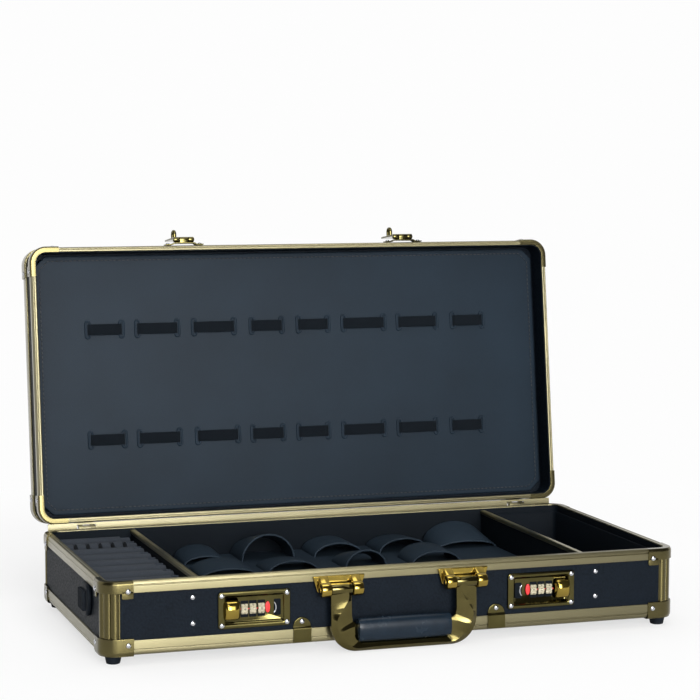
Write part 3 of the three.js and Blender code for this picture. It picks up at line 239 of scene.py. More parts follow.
class Nodes:
    """The nodes of a material or of the surroundings."""

    def __init__(self, tree):
        self.tree = tree

    def node(self, kind, settings=None, inputs=None):
        """Adds a node of a type, with its settings set first and then its sockets filled or linked."""
        node = self.tree.nodes.new(kind)
        for key, setting in (settings or {}).items():
            if key == "stops":
                self._set_ramp(node.color_ramp, setting)
            else:
                setattr(node, key, setting)
        for key, source in (inputs or {}).items():
            socket = node.inputs[key]
            if isinstance(source, Value):
                self.tree.links.new(source.socket, socket)
            elif isinstance(source, bpy.types.NodeSocket):
                self.tree.links.new(source, socket)
            else:
                socket.default_value = source
        return node

    def _set_ramp(self, ramp, stops):
        for index, (position, colour) in enumerate(stops):
            element = ramp.elements[index] if index < 2 else ramp.elements.new(position)
            element.position = position
            element.color = colour

    def value(self, kind, settings=None, inputs=None, output=0):
        return Value(self, self.node(kind, settings, inputs).outputs[output])

    def colour(self, kind, settings=None, inputs=None, output=0):
        return self.node(kind, settings, inputs).outputs[output]

    def between(self, factor, low, high):
        """A number that goes from low to high as factor goes from 0 to 1."""
        return factor * (high - low) + low

    def step(self, value, start, end):
        """A number that goes smoothly from 0 to 1 as value goes from start to end."""
        return self.value("ShaderNodeMapRange", {"interpolation_type": "SMOOTHSTEP"}, {
            "Value": value, "From Min": start, "From Max": end})


class Finish(Nodes):
    """One material and the nodes that it is made of."""

    def __init__(self, name, **shader_values):
        self.material = bpy.data.materials.new(name)
        self.material.use_nodes = True
        super().__init__(self.material.node_tree)
        self.shader = self.tree.nodes["Principled BSDF"]
        for socket, setting in shader_values.items():
            self.shader.inputs[socket.replace("_", " ")].default_value = setting

    def coordinates(self, stretch=(1, 1, 1)):
        """Object coordinates in metres, scaled along each axis."""
        texture = self.node("ShaderNodeTexCoord")
        return self.colour("ShaderNodeMapping", {}, {"Vector": texture.outputs["Object"], "Scale": stretch})

    def noise(self, scale, detail=2.0, roughness=0.5, stretch=(1, 1, 1)):
        return self.value("ShaderNodeTexNoise", {}, {
            "Vector": self.coordinates(stretch), "Scale": scale, "Detail": detail, "Roughness": roughness})

    def cells(self, scale, feature="F1"):
        return self.value("ShaderNodeTexVoronoi", {"feature": feature}, {
            "Vector": self.coordinates(), "Scale": scale}, "Distance")

    def tinted(self, factor, colour, low, high):
        """A colour whose level goes from low to high, each given as (factor, level)."""
        stops = [(position, rgba(colour, level)) for position, level in (low, high)]
        return self.colour("ShaderNodeValToRGB", {"stops": stops}, {"Fac": factor})

    def mix(self, factor, first, second):
        return self.colour("ShaderNodeMix", {"data_type": "RGBA"}, {0: factor, 6: first, 7: second}, 2)

    def bump(self, height, distance, strength=1.0, under=None):
        inputs = {"Height": height, "Distance": distance, "Strength": strength}
        if under is not None:
            inputs["Normal"] = under
        return self.colour("ShaderNodeBump", {}, inputs)

    def feed(self, **links):
        """Links values or colours to the shader's sockets."""
        for name, source in links.items():
            socket = source.socket if isinstance(source, Value) else source
            self.tree.links.new(socket, self.shader.inputs[name.replace("_", " ")])
        return self.material


def rgba(colour, level=1.0):
    return (colour[0] * level, colour[1] * level, colour[2] * level, 1.0)


def brushed_gold(name, gold, rough_low, coat):
    """Anodised frame: drawn lines along the bars, whose gloss spreads across them, in a drifting tone."""
    finish = Finish(
        name, Metallic=1.0, Anisotropic=0.8, Anisotropic_Rotation=0.25, Coat_Weight=coat,
        Coat_Roughness=0.25, Coat_IOR=1.6)
    along = finish.noise(60, 3, 0.6, (0.6, 8, 40))
    across = finish.noise(60, 3, 0.6, (8, 0.6, 40))
    lines = (along + across) * 0.5
    drift = finish.noise(9, 2)
    tone = lines * 0.35 + drift * 0.65
    base = finish.tinted(tone, gold, (0.3, 0.84), (0.7, 1.1))
    rough = finish.between(finish.noise(26, 3), rough_low, rough_low + 0.12)
    return finish.feed(Base_Color=base, Roughness=rough, Normal=finish.bump(lines, 0.00002, 0.3))


def polished_brass(name, brass):
    """Plated fittings: mirror polish with faint clouding and a warmer tone in places."""
    finish = Finish(name, Metallic=1.0)
    cloud = finish.noise(70, 3)
    base = finish.tinted(cloud, brass, (0.3, 0.84), (0.7, 1.1))
    rough = finish.between(finish.noise(240, 3), 0.06, 0.14)
    return finish.feed(Base_Color=base, Roughness=rough, Normal=finish.bump(cloud, 0.0002, 0.25))


def bright_chrome():
    """Rivet heads: chrome with faint wiping marks."""
    finish = Finish("bright_chrome", Metallic=1.0)
    chrome = colours().chrome
    wipe = finish.noise(400, 2)
    base = finish.tinted(wipe, chrome, (0.3, 0.9), (0.7, 1.05))
    return finish.feed(Base_Color=base, Roughness=finish.between(wipe, 0.06, 0.16))


def pebbled_panel():
    """Wall panels: rounded pebbles in a shallow net of grooves, slightly glossier on top."""
    finish = Finish("pebbled_panel", Metallic=0.0, Specular_IOR_Level=0.06)
    panel = colours().panel
    size = 1.0 / sizes().pebble_size
    cell = finish.cells(size * 0.5)
    fine = finish.noise(size * 1.3, 2)
    height = 1.0 - cell
    tone = height * 0.5 + finish.noise(40, 2) * 0.3 + fine * 0.2
    base = finish.tinted(tone, panel, (0.25, 0.7), (0.8, 1.45))
    rough = finish.between(cell, 0.40, 0.62)
    pebbles = finish.bump(height, 0.00022, 0.8)
    return finish.feed(Base_Color=base, Roughness=rough, Normal=finish.bump(fine, 0.00006, 0.5, pebbles))


def leatherette(name, colour, rough_low, shine):
    """Board, straps and linings: small creased cells with a soft sheen and a slow change of tone."""
    finish = Finish(name, Metallic=0.0, Specular_IOR_Level=shine)
    size = 1.0 / sizes().grain_size
    crease = finish.cells(size * 0.6, "DISTANCE_TO_EDGE")
    fine = finish.noise(size * 1.6, 3)
    drift = finish.noise(14, 2)
    tone = crease * 0.5 + drift * 0.5 + fine * 0.2
    base = finish.tinted(tone, colour, (0.2, 0.72), (0.8, 1.3))
    rough = finish.between(fine, rough_low, rough_low + 0.16)
    creases = finish.bump(crease, 0.00016, 0.55)
    return finish.feed(Base_Color=base, Roughness=rough, Normal=finish.bump(fine, 0.00005, 0.5, creases))


def woven_elastic():
    """Elastic loops: fine ribs across the band."""
    finish = Finish("woven_elastic", Metallic=0.0, Roughness=0.82, Specular_IOR_Level=0.1)
    elastic = colours().elastic
    ribs = finish.value("ShaderNodeTexWave", {"bands_direction": "X"}, {
        "Vector": finish.coordinates(), "Scale": 480.0, "Distortion": 0.4, "Detail": 1.0})
    base = finish.tinted(ribs, elastic, (0.1, 0.6), (0.9, 2.2))
    return finish.feed(Base_Color=base, Normal=finish.bump(ribs, 0.00025, 0.8))


def cut_foam():
    """Foam block: open cells of mixed sizes, with painted shade that darkens it down in the grooves."""
    finish = Finish("cut_foam", Metallic=0.0, Roughness=0.95)
    foam = colours().foam
    crest = BASE.to_row(BASE.extent("foam_block")[1])[2]
    split = finish.node("ShaderNodeSeparateXYZ", {}, {0: finish.coordinates()})
    groove_shade_fade = finish.step(Value(finish, split.outputs["Z"]), crest - FOAM_DEPTH * MM, crest)
    cell = finish.cells(900)
    pores = finish.noise(2200, 3)
    pitted = finish.tinted(cell * 0.5 + pores * 0.5, foam, (0.2, 0.7), (0.8, 1.8))
    # Painted shade: down in the grooves, slits and notches the foam is drawn at a quarter of its colour.
    base = finish.mix(groove_shade_fade, rgba(foam, 0.25), pitted)
    return finish.feed(Base_Color=base, Normal=finish.bump(cell + pores, 0.0004, 0.8))


def moulded_rubber():
    """Feet and side fittings: satin moulded rubber with a faint texture."""
    finish = Finish("moulded_rubber", Metallic=0.0, Specular_IOR_Level=0.06)
    rubber = colours().rubber
    cloud = finish.noise(300, 3)
    base = finish.tinted(cloud, rubber, (0.3, 0.75), (0.7, 1.5))
    rough = finish.between(cloud, 0.42, 0.6)
    return finish.feed(Base_Color=base, Roughness=rough, Normal=finish.bump(cloud, 0.0001, 0.3))


def padded_grip():
    """Handle grip: smooth leatherette over foam, with a satin shine."""
    finish = Finish("padded_grip", Metallic=0.0, Specular_IOR_Level=0.16)
    grip = colours().grip
    grain = finish.cells(1500)
    cloud = finish.noise(90, 2)
    base = finish.tinted(cloud * 0.7 + grain * 0.3, grip, (0.2, 0.75), (0.8, 1.6))
    rough = finish.between(cloud, 0.20, 0.32)
    return finish.feed(Base_Color=base, Roughness=rough, Normal=finish.bump(grain, 0.00006, 0.5))


def moulded_ivory(name, colour):
    """Number dials and marks: moulded plastic with a little dirt in it."""
    finish = Finish(name, Metallic=0.0)
    dirt = finish.noise(600, 3)
    base = finish.tinted(dirt, colour, (0.3, 0.7), (0.6, 1.0))
    return finish.feed(Base_Color=base, Roughness=finish.between(dirt, 0.35, 0.5))


def sewing_thread():
    """Stitches: twisted thread, dark and slightly shiny."""
    finish = Finish("sewing_thread", Metallic=0.0, Roughness=0.6)
    twist = finish.noise(1800, 1)
    return finish.feed(Base_Color=finish.tinted(twist, colours().thread, (0.3, 0.3), (0.7, 1.0)))


class Palette:
    """The case's materials, each made once when it is first asked for."""

    makers = {
        "gold": (lambda: brushed_gold("brushed_gold", colours().gold, 0.34, 0.3), "gold_frame"),
        # Painted shade: a darker copy of the brushed gold for the corner pieces.
        "corner_gold": (lambda: brushed_gold("corner_gold", colours().corner_gold, 0.20, 0.1), "gold_frame"),
        "brass": (lambda: polished_brass("polished_brass", colours().brass), "brass"),
        # Painted shade: a darker copy of the polished brass for the locks, hasps and clamps.
        "lock_gold": (lambda: polished_brass("lock_gold", colours().lock_gold), "brass"),
        # Painted shade: a darker copy of the polished brass for the handle's bail.
        "bail_gold": (lambda: polished_brass("bail_gold", colours().bail_gold), "brass"),
        "chrome": (bright_chrome, "brass"),
        "panel": (pebbled_panel, "panel"),
        "leather": (lambda: leatherette("board_leatherette", colours().leather, 0.42, 0.09), "leatherette"),
        # Painted light: a lightened copy of the leatherette for the shaded straps and their liner.
        "strap": (lambda: leatherette("lightened_strap_leatherette", colours().strap, 0.5, 0.12), "leatherette"),
        "lining": (lambda: leatherette("dark_lining", colours().lining, 0.6, 0.08), "leatherette"),
        "elastic": (woven_elastic, "elastic"),
        "foam": (cut_foam, "foam"),
        "rubber": (moulded_rubber, "black_rubber"),
        "grip": (padded_grip, "grip"),
        "ivory": (lambda: moulded_ivory("dial_ivory", colours().ivory), "dial"),
        "ink": (lambda: moulded_ivory("dial_ink", colours().ink), "dial"),
        "red": (lambda: moulded_ivory("lock_red", colours().red), "dial"),
        "thread": (sewing_thread, "leatherette"),
    }
    made = {}

    @classmethod
    def get(cls, key):
        if key not in cls.made:
            cls.made[key] = cls.makers[key][0]()
        return cls.made[key]

    @classmethod
    def slot(cls, key):
        return cls.makers[key][1]


# Shells: points and faces as whole arrays

class Shell:
    """A set of points with the faces between them."""

    def __init__(self, points, faces):
        self.points = np.asarray(points, float)
        self.faces = faces

    def outward(self):
        """The same shell with its faces turned out, told by the sign of the volume that they enclose."""
        volume = 0.0
        for group in self.faces:
            corners = self.points[group]
            first = corners[:, 0]
            for k in range(1, corners.shape[1] - 1):
                volume += np.einsum("ij,ij->i", first, np.cross(corners[:, k], corners[:, k + 1])).sum()
        if volume < 0:
            return Shell(self.points, [group[:, ::-1] for group in self.faces])
        return self

    def moved(self, x=0.0, y=0.0, z=0.0):
        return Shell(self.points + (x, y, z), self.faces)

    def turned(self, matrix):
        return Shell(self.points @ np.asarray(matrix, float).T, self.faces)

    def placed(self, place):
        return Shell(place.to_row(self.points), self.faces)


def joined(shells):
    """Several shells as one."""
    points = []
    faces = []
    start = 0
    for shell in shells:
        points.append(shell.points)
        faces += [group + start for group in shell.faces]
        start += len(shell.points)
    return Shell(np.vstack(points), faces)


def grid(points, close_rows=False, close_columns=False, caps=False):
    """A surface through points[row, column]; closed ways join the last line to the first, and caps fill the
    first and last rows with one face each."""
    rows, columns = points.shape[:2]
    index = np.arange(rows * columns).reshape(rows, columns)
    r0 = index if close_rows else index[:-1]
    r1 = np.roll(index, -1, axis=0) if close_rows else index[1:]
    if not close_columns:
        quads = np.stack([r0[:, :-1], r0[:, 1:], r1[:, 1:], r1[:, :-1]], axis=-1)
    else:
        quads = np.stack([r0, np.roll(r0, -1, axis=1), np.roll(r1, -1, axis=1), r1], axis=-1)
    faces = [quads.reshape(-1, 4)]
    if caps:
        faces.append(index[0][::-1][None, :])
        faces.append(index[-1][None, :])
    return Shell(points.reshape(-1, 3), faces)


def skin(rows):
    """A surface through rings of points, one per row, with a face at each end."""
    return grid(rows, close_columns=True, caps=True).outward()


def arc(start, end, steps):
    return np.linspace(start, end, steps + 1)


def full_turn(steps):
    """Angles once round, without the last, which is the first again."""
    return np.linspace(0, 2 * math.pi, steps, endpoint=False)


def on_ellipse(angles, radius_x=1.0, radius_y=1.0):
    return np.column_stack([radius_x * np.cos(angles), radius_y * np.sin(angles)])


def in_space(x, y, z):
    """Points [..., 3] from three arrays that are spread to one shape."""
    return np.stack(np.broadcast_arrays(x, y, z), axis=-1)


def at_height(flat, z=0.0):
    """Points [n, 3] from flat points [n, 2]."""
    return np.column_stack([flat, np.full(len(flat), z)])


def unit(vectors):
    """The vectors at length 1."""
    return vectors / np.maximum(np.linalg.norm(vectors, axis=1, keepdims=True), 1e-9)


def rounded_rectangle(width, height, radius, steps=6):
    """Outline [n, 2] of a rectangle with quarter-circle corners, counterclockwise."""
    angles = (np.arange(4)[:, None] * 90 + np.linspace(0, 90, steps + 1)[None, :]) * math.pi / 180
    signs = np.array([[1, 1], [-1, 1], [-1, -1], [1, -1]], float)
    centres = signs * (width / 2 - radius, height / 2 - radius)
    circle = radius * np.stack([np.cos(angles), np.sin(angles)], axis=-1)
    return (centres[:, None, :] + circle).reshape(-1, 2)


def outline_normals(outline):
    """Outward unit normals of a counterclockwise outline, each the mean of its two edges' normals."""
    ahead = np.roll(outline, -1, axis=0) - outline
    edge = unit(np.column_stack([ahead[:, 1], -ahead[:, 0]]))
    mean = unit(edge + np.roll(edge, 1, axis=0))
    stretch = 1 / np.maximum((mean * edge).sum(axis=1, keepdims=True), 0.5)
    return mean * stretch


def filleted(points, radius, steps=4):
    """A closed polygon with each corner C replaced by the quadratic curve from its first to its second edge,
    (1-s)^2 A + 2s(1-s) C + s^2 B, where A and B lie the radius from C, at most 0.45 of the edge."""
    corner = np.asarray(points, float)
    before = np.roll(corner, 1, axis=0) - corner
    after = np.roll(corner, -1, axis=0) - corner
    reach = np.broadcast_to(np.asarray(radius, float), (len(corner),))[:, None]
    length_before = np.linalg.norm(before, axis=1, keepdims=True)
    length_after = np.linalg.norm(after, axis=1, keepdims=True)
    a = corner + before / length_before * np.minimum(reach, 0.45 * length_before)
    b = corner + after / length_after * np.minimum(reach, 0.45 * length_after)
    s = np.linspace(0, 1, steps + 1)[None, :, None]
    curve = (1 - s) ** 2 * a[:, None] + 2 * s * (1 - s) * corner[:, None] + s ** 2 * b[:, None]
    return curve.reshape(-1, 2)


def rounded_slab(outline, low, high, edge, steps=4):
    """A plate with this outline from low to high, whose edges are quarter rounds of radius edge: each row is
    the outline drawn in by edge (1 - sin a) at height edge (1 - cos a) from its face."""
    normals = outline_normals(outline)
    a = arc(0, math.pi / 2, steps)
    inset = np.concatenate([edge * (1 - np.sin(a)), edge * (1 - np.sin(a[::-1]))])
    height = np.concatenate([low + edge * (1 - np.cos(a)), high - edge * (1 - np.cos(a[::-1]))])
    rows = outline[None] - normals[None] * inset[:, None, None]
    return skin(in_space(rows[..., 0], rows[..., 1], height[:, None]))


def lofted(outlines, heights):
    """A skin through outlines with the same number of points, each at its own height."""
    return skin(np.stack([at_height(outline, z) for outline, z in zip(outlines, heights)]))


def swept(profile, path, across, upward, closed=False):
    """A profile carried along a path: point = path + profile_x * across + profile_y * upward."""
    profile = np.asarray(profile, float)
    path = np.asarray(path, float)
    across = np.broadcast_to(np.asarray(across, float), path.shape)
    upward = np.broadcast_to(np.asarray(upward, float), path.shape)
    points = (path[:, None] + profile[None, :, :1] * across[:, None] + profile[None, :, 1:] * upward[:, None])
    return grid(points, close_rows=closed, close_columns=True, caps=not closed).outward()


def tangents(path):
    """Unit vectors along a path."""
    return unit(np.gradient(path, axis=0))


def revolved(profile, steps=24):
    """A profile of [radius, height] turned about Z; its ends lie on the axis."""
    profile = np.asarray(profile, float)
    angle = full_turn(steps)
    radius, height = profile[1:-1, 0, None], profile[1:-1, 1, None]
    shell = grid(in_space(radius * np.cos(angle), radius * np.sin(angle), height), close_columns=True)
    count = len(shell.points)
    ends = np.array([[0, 0, profile[0, 1]], [0, 0, profile[-1, 1]]])
    ring = np.arange(steps)
    following = np.roll(ring, -1)
    last = count - steps
    low = np.stack([np.full(steps, count), following, ring], axis=-1)
    high = np.stack([np.full(steps, count + 1), last + ring, last + following], axis=-1)
    return Shell(np.vstack([shell.points, ends]), shell.faces + [low, high]).outward()


ALONG_X = np.array([[0, 0, 1], [0, 1, 0], [-1, 0, 0]], float)
OUT_OF_FRONT = np.array([[1, 0, 0], [0, 0, -1], [0, 1, 0]], float)


def rod_x(radius, x0, x1, y, z, edge=0.4, steps=24):
    """A round bar along X with rounded ends."""
    a = arc(0, math.pi / 2, 3)
    near = np.column_stack([radius - edge + edge * np.sin(a), x0 + edge - edge * np.cos(a)])
    far = np.column_stack([radius - edge + edge * np.sin(a[::-1]), x1 - edge + edge * np.cos(a[::-1])])
    profile = np.vstack([[0, x0], near, far, [0, x1]])
    return revolved(profile, steps).turned(ALONG_X).moved(0, y, z)


def domes(centres, normals, radius, height, steps=16, rings=6):
    """Round heads at centres facing along normals: r = radius sin a, h = height cos a, with a short skirt."""
    centres = np.asarray(centres, float)
    normals = np.broadcast_to(np.asarray(normals, float), centres.shape)
    a = np.linspace(0.12, math.pi / 2, rings)
    r = np.concatenate([radius * np.sin(a), [radius]])
    h = np.concatenate([height * np.cos(a), [-0.3 * height]])
    angle = full_turn(steps)
    helper = np.where(np.abs(normals[:, 2:3]) > 0.9, [[1.0, 0, 0]], [[0, 0, 1.0]])
    side = unit(np.cross(helper, normals))
    other = np.cross(normals, side)
    c, s = np.cos(angle)[None, :, None], np.sin(angle)[None, :, None]
    circle = r[:, None, None] * (c * side[:, None, None] + s * other[:, None, None])
    points = centres[:, None, None] + circle + h[None, :, None, None] * normals[:, None, None]
    return joined([skin(rows) for rows in points])


def new_object(name, data):
    thing = bpy.data.objects.new(name, data)
    bpy.context.scene.collection.objects.link(thing)
    return thing


def make_object(name, shell):
    mesh = bpy.data.meshes.new(name)
    faces = [face for group in shell.faces for face in group.tolist()]
    mesh.from_pydata(shell.points.tolist(), [], faces)
    mesh.update()
    mesh.shade_smooth()
    mesh.set_sharp_from_angle(angle=math.radians(38))
    return new_object(name, mesh)


def add_piece(name, shell, place, body, material, stands_for=()):
    """Puts a finished shell on a body in one material, and hides the CAD nodes that it stands for."""
    thing = make_object(name, shell.placed(place))
    thing.data.materials.append(Palette.get(material))
    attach(thing, body)
    Palette.slot(material)
    if stands_for:
        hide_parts(*stands_for)
    return thing


def dress_node(node, material):
    """Gives a CAD node whose shape is right its finish."""
    thing = frame["nodes"][node]
    if not thing.material_slots:
        thing.data.materials.append(Palette.get(material))
    for slot in thing.material_slots:
        slot.material = Palette.get(material)


# The frames' rings and corner pieces

def ring_path(steps):
    """Points and outward normals round the case's plan outline."""
    outline = rounded_rectangle(2 * HALF_X, 2 * HALF_Y, CORNER_RADIUS, steps)
    angles = (np.arange(4)[:, None] * 90 + np.linspace(0, 90, steps + 1)[None, :]) * math.pi / 180
    normals = np.stack([np.cos(angles), np.sin(angles)], axis=-1).reshape(-1, 2)
    return outline, normals


def frame_ring(profile):
    """A profile of [inset, z] carried round the outline: point = outline - normal * inset."""
    outline, normals = ring_path(sizes().corner_steps)
    return swept(profile, at_height(outline), -at_height(normals), (0, 0, 1), closed=True)


def corner_path(reach, steps):
    """Points and normals round the +X +Y corner, from the side face to the rear face."""
    normals = on_ellipse(arc(0, math.pi / 2, steps))
    curve = CORNER_RADIUS * normals - CORNER_RADIUS
    points = np.vstack([[0, -reach], curve, [-reach, 0]])
    return points, np.vstack([[1, 0], normals, [0, 1]])


def corner_piece(profile, reach):
    """A profile of [inset, z] carried round one corner, which lies at the origin."""
    points, normals = corner_path(reach, sizes().corner_steps)
    return swept(profile, at_height(points), -at_height(normals), (0, 0, 1))


def at_corners(shell):
    """The same corner piece turned to all four corners."""
    quarter = np.array([[0, -1, 0], [1, 0, 0], [0, 0, 1]], float)
    copies = []
    turned = shell
    for sign_x, sign_y in CORNER_TURNS:
        copies.append(turned.moved(sign_x * HALF_X, sign_y * HALF_Y))
        turned = turned.turned(quarter)
    return copies


def section(corners, radii, start, away, steps=4):
    """A profile of [inset, height] with rounded corners, whose heights run from start up or down."""
    profile = filleted(corners, radii, steps)
    return np.column_stack([profile[:, 0], start + away * profile[:, 1]])


def rim_profile(lip, away, width=RIM_WIDTH):
    """Channel whose lip slants in above a drawn groove, with a gutter along the lip."""
    near, far = 0.42 * width, 0.62 * width
    corners = (
        [0.0, RIM_HEIGHT], [0.0, 4.3], [0.75, 3.9], [0.75, 3.3], [0.1, 2.9], [1.2, 0.0],
        [near, 0.0], [near + 0.3, 0.35], [far - 0.3, 0.35], [far, 0.0], [width, 0.0], [width, RIM_HEIGHT],
        [width - 1.2, RIM_HEIGHT], [width - 1.2, 1.2], [2.4, 1.2], [1.4, 4.0], [1.4, RIM_HEIGHT],
    )
    radii = [0.25, 0.4, 0.2, 0.2, 0.3, 0.8, 0.3, 0.2, 0.2, 0.3, 1.0, 0.2, 0.2, 0.2, 0.2, 0.2, 0.2]
    return section(corners, radii, lip, away)


def edge_rail_profile(edge, away, height, groove):
    """Angle whose lower part turns in below a drawn groove, with a flange that holds the panel."""
    corners = (
        [0.0, height], [0.0, groove + 1.2], [0.6, groove + 0.9], [0.6, groove + 0.3], [0.15, groove],
        [0.7, 1.9], [2.9, 0.0], [14.0, 0.0], [14.0, 1.2], [3.4, 1.2], [1.6, 2.8], [1.6, height],
    )
    return section(corners, [0.25, 0.4, 0.2, 0.2, 0.4, 1.3, 1.3, 0.3, 0.3, 0.4, 0.4, 0.25], edge, away)


def bracket_profile(lip, away):
    """Stamped bracket that laps the rim's face, with its lower edge rolled in."""
    corners = (
        [-CAP_PROUD, BRACKET_HEIGHT], [-CAP_PROUD, 2.2], [0.4, -0.05], [5.0, -0.05],
        [5.0, 0.1], [0.6, 0.3], [0.3, BRACKET_HEIGHT],
    )
    return section(corners, [0.6, 0.8, 0.4, 0.1, 0.1, 0.1, 0.2], lip, away)


def bracket_tabs(lip, away):
    """The tabs that hang from the brackets' band beside the posts, one on each face of each corner."""
    near = POST_REACH + 1.2
    outline = filleted([[near, 8.6], [CAP_REACH, 8.6], [CAP_REACH, 15.8], [near, 15.8]], 1.6)
    slab = rounded_slab(outline, -0.3, CAP_PROUD, 0.5)
    along, down, out = slab.points.T
    height = lip + away * down
    tabs = []
    for sign_x, sign_y in CORNER_TURNS:
        on_end = np.column_stack([sign_x * (HALF_X - along), sign_y * (HALF_Y + out), height])
        on_side = np.column_stack([sign_x * (HALF_X + out), sign_y * (HALF_Y - along), height])
        tabs += [Shell(on_end, slab.faces).outward(), Shell(on_side, slab.faces).outward()]
    return tabs


def rim_brackets(lip, away):
    """A band round each corner of a rim, with a tab at each end."""
    band = corner_piece(bracket_profile(lip, away), CAP_REACH)
    return joined(at_corners(band) + bracket_tabs(lip, away))


def edge_cap_profile(edge, away, height):
    """Corner cap that laps the rail's face and flange over a round edge."""
    proud = CAP_PROUD
    corners = ([-proud, height], [-proud, -proud], [14.0, -proud], [14.0, -0.1], [0.2, -0.1], [0.2, height])
    return section(corners, [0.6, 5.0, 0.3, 0.2, 0.2, 0.3], edge, away, 8)


def build_base_frame():
    add_piece("base_rim", frame_ring(rim_profile(BASE_TOP, -1)), BASE, "base", "gold", ["base_rim_frame"])
    add_piece("base_rim_brackets", rim_brackets(BASE_TOP, -1), BASE, "base", "corner_gold")
    rail = frame_ring(edge_rail_profile(0.0, 1, RAIL_TOP, 4.6))
    add_piece("bottom_rail", rail, BASE, "base", "gold", ["base_bottom_rail"])


def build_corners():
    """Fluted posts, capped corners and rubber feet."""
    names = ("rear_right", "rear_left", "front_left", "front_right")
    caps = at_corners(corner_piece(edge_cap_profile(-0.3, 1, 15.9), CAP_REACH))
    posts = at_corners(fluted_post())
    foot = rubber_foot()
    for name, cap, post in zip(names, caps, posts):
        add_piece(f"corner_cap_{name}", cap, BASE, "base", "corner_gold", [f"bottom_corner_cap_{name}"])
        add_piece(f"fluted_post_{name}", post, BASE, "base", "corner_gold", [f"corner_post_{name}"])
        x, y, _ = BASE.middle(f"foot_{name}")
        add_piece(f"rubber_foot_{name}", foot.moved(x, y), BASE, "base", "rubber", [f"foot_{name}"])


def fluted_post():
    """Corner post: the inset is 0.3 + 1.5 (1 - |sin|^0.6) of three half waves, which makes three ribs."""
    steps = 60
    points, normals = corner_path(POST_REACH, steps)
    way = np.concatenate([[0], arc(0, 1, steps), [1]])
    depth = 0.3 + 1.5 * (1 - np.abs(np.sin(3 * math.pi * way)) ** 0.6)
    outline = np.concatenate([points - normals * depth[:, None], (points - normals * 5.0)[::-1]])
    return lofted([outline, outline], (RAIL_TOP - 2.0, BASE_TOP - RIM_HEIGHT + 2.0))


def rubber_foot():
    """Foot that widens upward, with a rounded sole."""
    low, high = BASE.extent("foot_front_left")
    radius = (high[0] - low[0]) / 2
    sole, top = low[2], high[2]
    profile = [
        [0, sole], [radius * 0.70, sole], [radius * 0.80, sole + 0.3], [radius * 0.84, sole + 1.0],
        [radius * 0.97, top - 1.6], [radius, top - 0.9], [radius * 0.98, top], [0, top],
    ]
    return revolved(profile, 32)


def build_panels():
    """Wall panels and the pieces whose CAD shape is right."""
    for node in ("base_front_panel", "base_rear_panel", "base_left_panel", "base_right_panel",
                 "base_floor_panel", "lid_outer_panel", "lid_wall_frame"):
        dress_node(node, "panel")
    for side, _ in SIDES:
        dress_node(f"hinge_base_leaf_{side}", "gold")
        dress_node(f"hinge_lid_leaf_{side}", "gold")


def build_lid_frame():
    rim = frame_ring(rim_profile(0.0, 1, LID_RIM_WIDTH))
    add_piece("lid_rim", rim, LID, "lid", "gold", ["lid_rim_frame"])
    add_piece("lid_rim_brackets", rim_brackets(0.0, 1), LID, "lid", "corner_gold")
    add_piece("hinge_strip", hinge_strip(), LID, "lid", "gold")
    height = LID_TOP - EDGE_RAIL_LOW
    rail = frame_ring(edge_rail_profile(LID_TOP, -1, height, height - 4.4))
    add_piece("lid_outer_rail", rail, LID, "lid", "gold", ["lid_edge_rail"])
    caps = joined(at_corners(corner_piece(edge_cap_profile(LID_TOP, -1, height), CAP_REACH)))
    add_piece("lid_corner_caps", caps, LID, "lid", "corner_gold")


def hinge_strip():
    """Thin strip along the lid's rear edge that closes the gap to the base's rim, narrower at the hinges."""
    low, high = LID.extent("hinge_lid_leaf_right")
    middle = (low[0] + high[0]) / 2
    half = (high[0] - low[0]) / 2 + 1.2
    stops = (-HALF_X + 8, -middle - half, -middle + half, middle - half, middle + half, HALF_X - 8)
    strips = []
    for x0, x1, width in zip(stops, stops[1:], (6.5, 2.3, 6.5, 2.3, 6.5)):
        profile = filleted([[0.0, 0.2], [width, 0.2], [width, 1.4], [0.0, 1.4]], 0.4)
        strips.append(swept(profile, [[x0, HALF_Y, 0], [x1, HALF_Y, 0]], (0, 1, 0), (0, 0, 1)))
    return joined(strips)


# The lid's inside

def board_outline(inset=0.0):
    """The board's outline with its cut corners, drawn in by inset."""
    high = LID.extent("tool_board")[1]
    x, y = high[0] - inset, high[1] - inset
    cut = 11.0 - inset * 0.4
    corners = (
        [-x + cut, -y], [x - cut, -y], [x, -y + cut], [x, y - cut],
        [x - cut, y], [-x + cut, y], [-x, y - cut], [-x, -y + cut])
    return filleted(corners, 2.0, 3)


def stitches(points, up):
    """Short rounded stitches along a closed line of points, lying along it, with up out of the board."""
    pitch = sizes().stitch_pitch / MM
    length = sizes().stitch_length / MM
    loop = np.vstack([points, points[:1]])
    step = np.linalg.norm(np.diff(loop, axis=0), axis=1)
    travel = np.concatenate([[0], np.cumsum(step)])
    count = int(travel[-1] / pitch)
    at = (np.arange(count) + 0.5) * travel[-1] / count

    def point(distance):
        return np.column_stack([np.interp(distance % travel[-1], travel, loop[:, k]) for k in range(3)])

    middle = point(at)
    ahead = unit(point(at + 0.5) - middle)
    up = np.asarray(up, float)
    side = np.cross(ahead, up)
    u = np.linspace(0.08, math.pi - 0.08, 6)
    v = full_turn(6)
    along = -0.5 * length * np.cos(u)
    radius = STITCH_RADIUS * np.sin(u)
    c, s = np.cos(v)[None, :, None], np.sin(v)[None, :, None]
    ring = radius[:, None, None] * (c * side[:, None, None] + s * up)
    rows = middle[:, None, None] + along[None, :, None, None] * ahead[:, None, None] + ring
    return joined([skin(one) for one in rows])


def build_tool_board():
    low, high = LID.extent("tool_board")
    front = low[2]
    board = rounded_slab(board_outline(), front, high[2], 1.2)
    add_piece("board_panel", board, LID, "lid", "leather", ["tool_board"])
    line = at_height(board_outline(STITCH_INSET), front - 0.1)
    add_piece("board_stitching", stitches(line, (0, 0, -1)), LID, "lid", "thread")


LOOP_RISE = 4.2
STITCH_RADIUS = 0.6
STITCH_INSET = 5.0
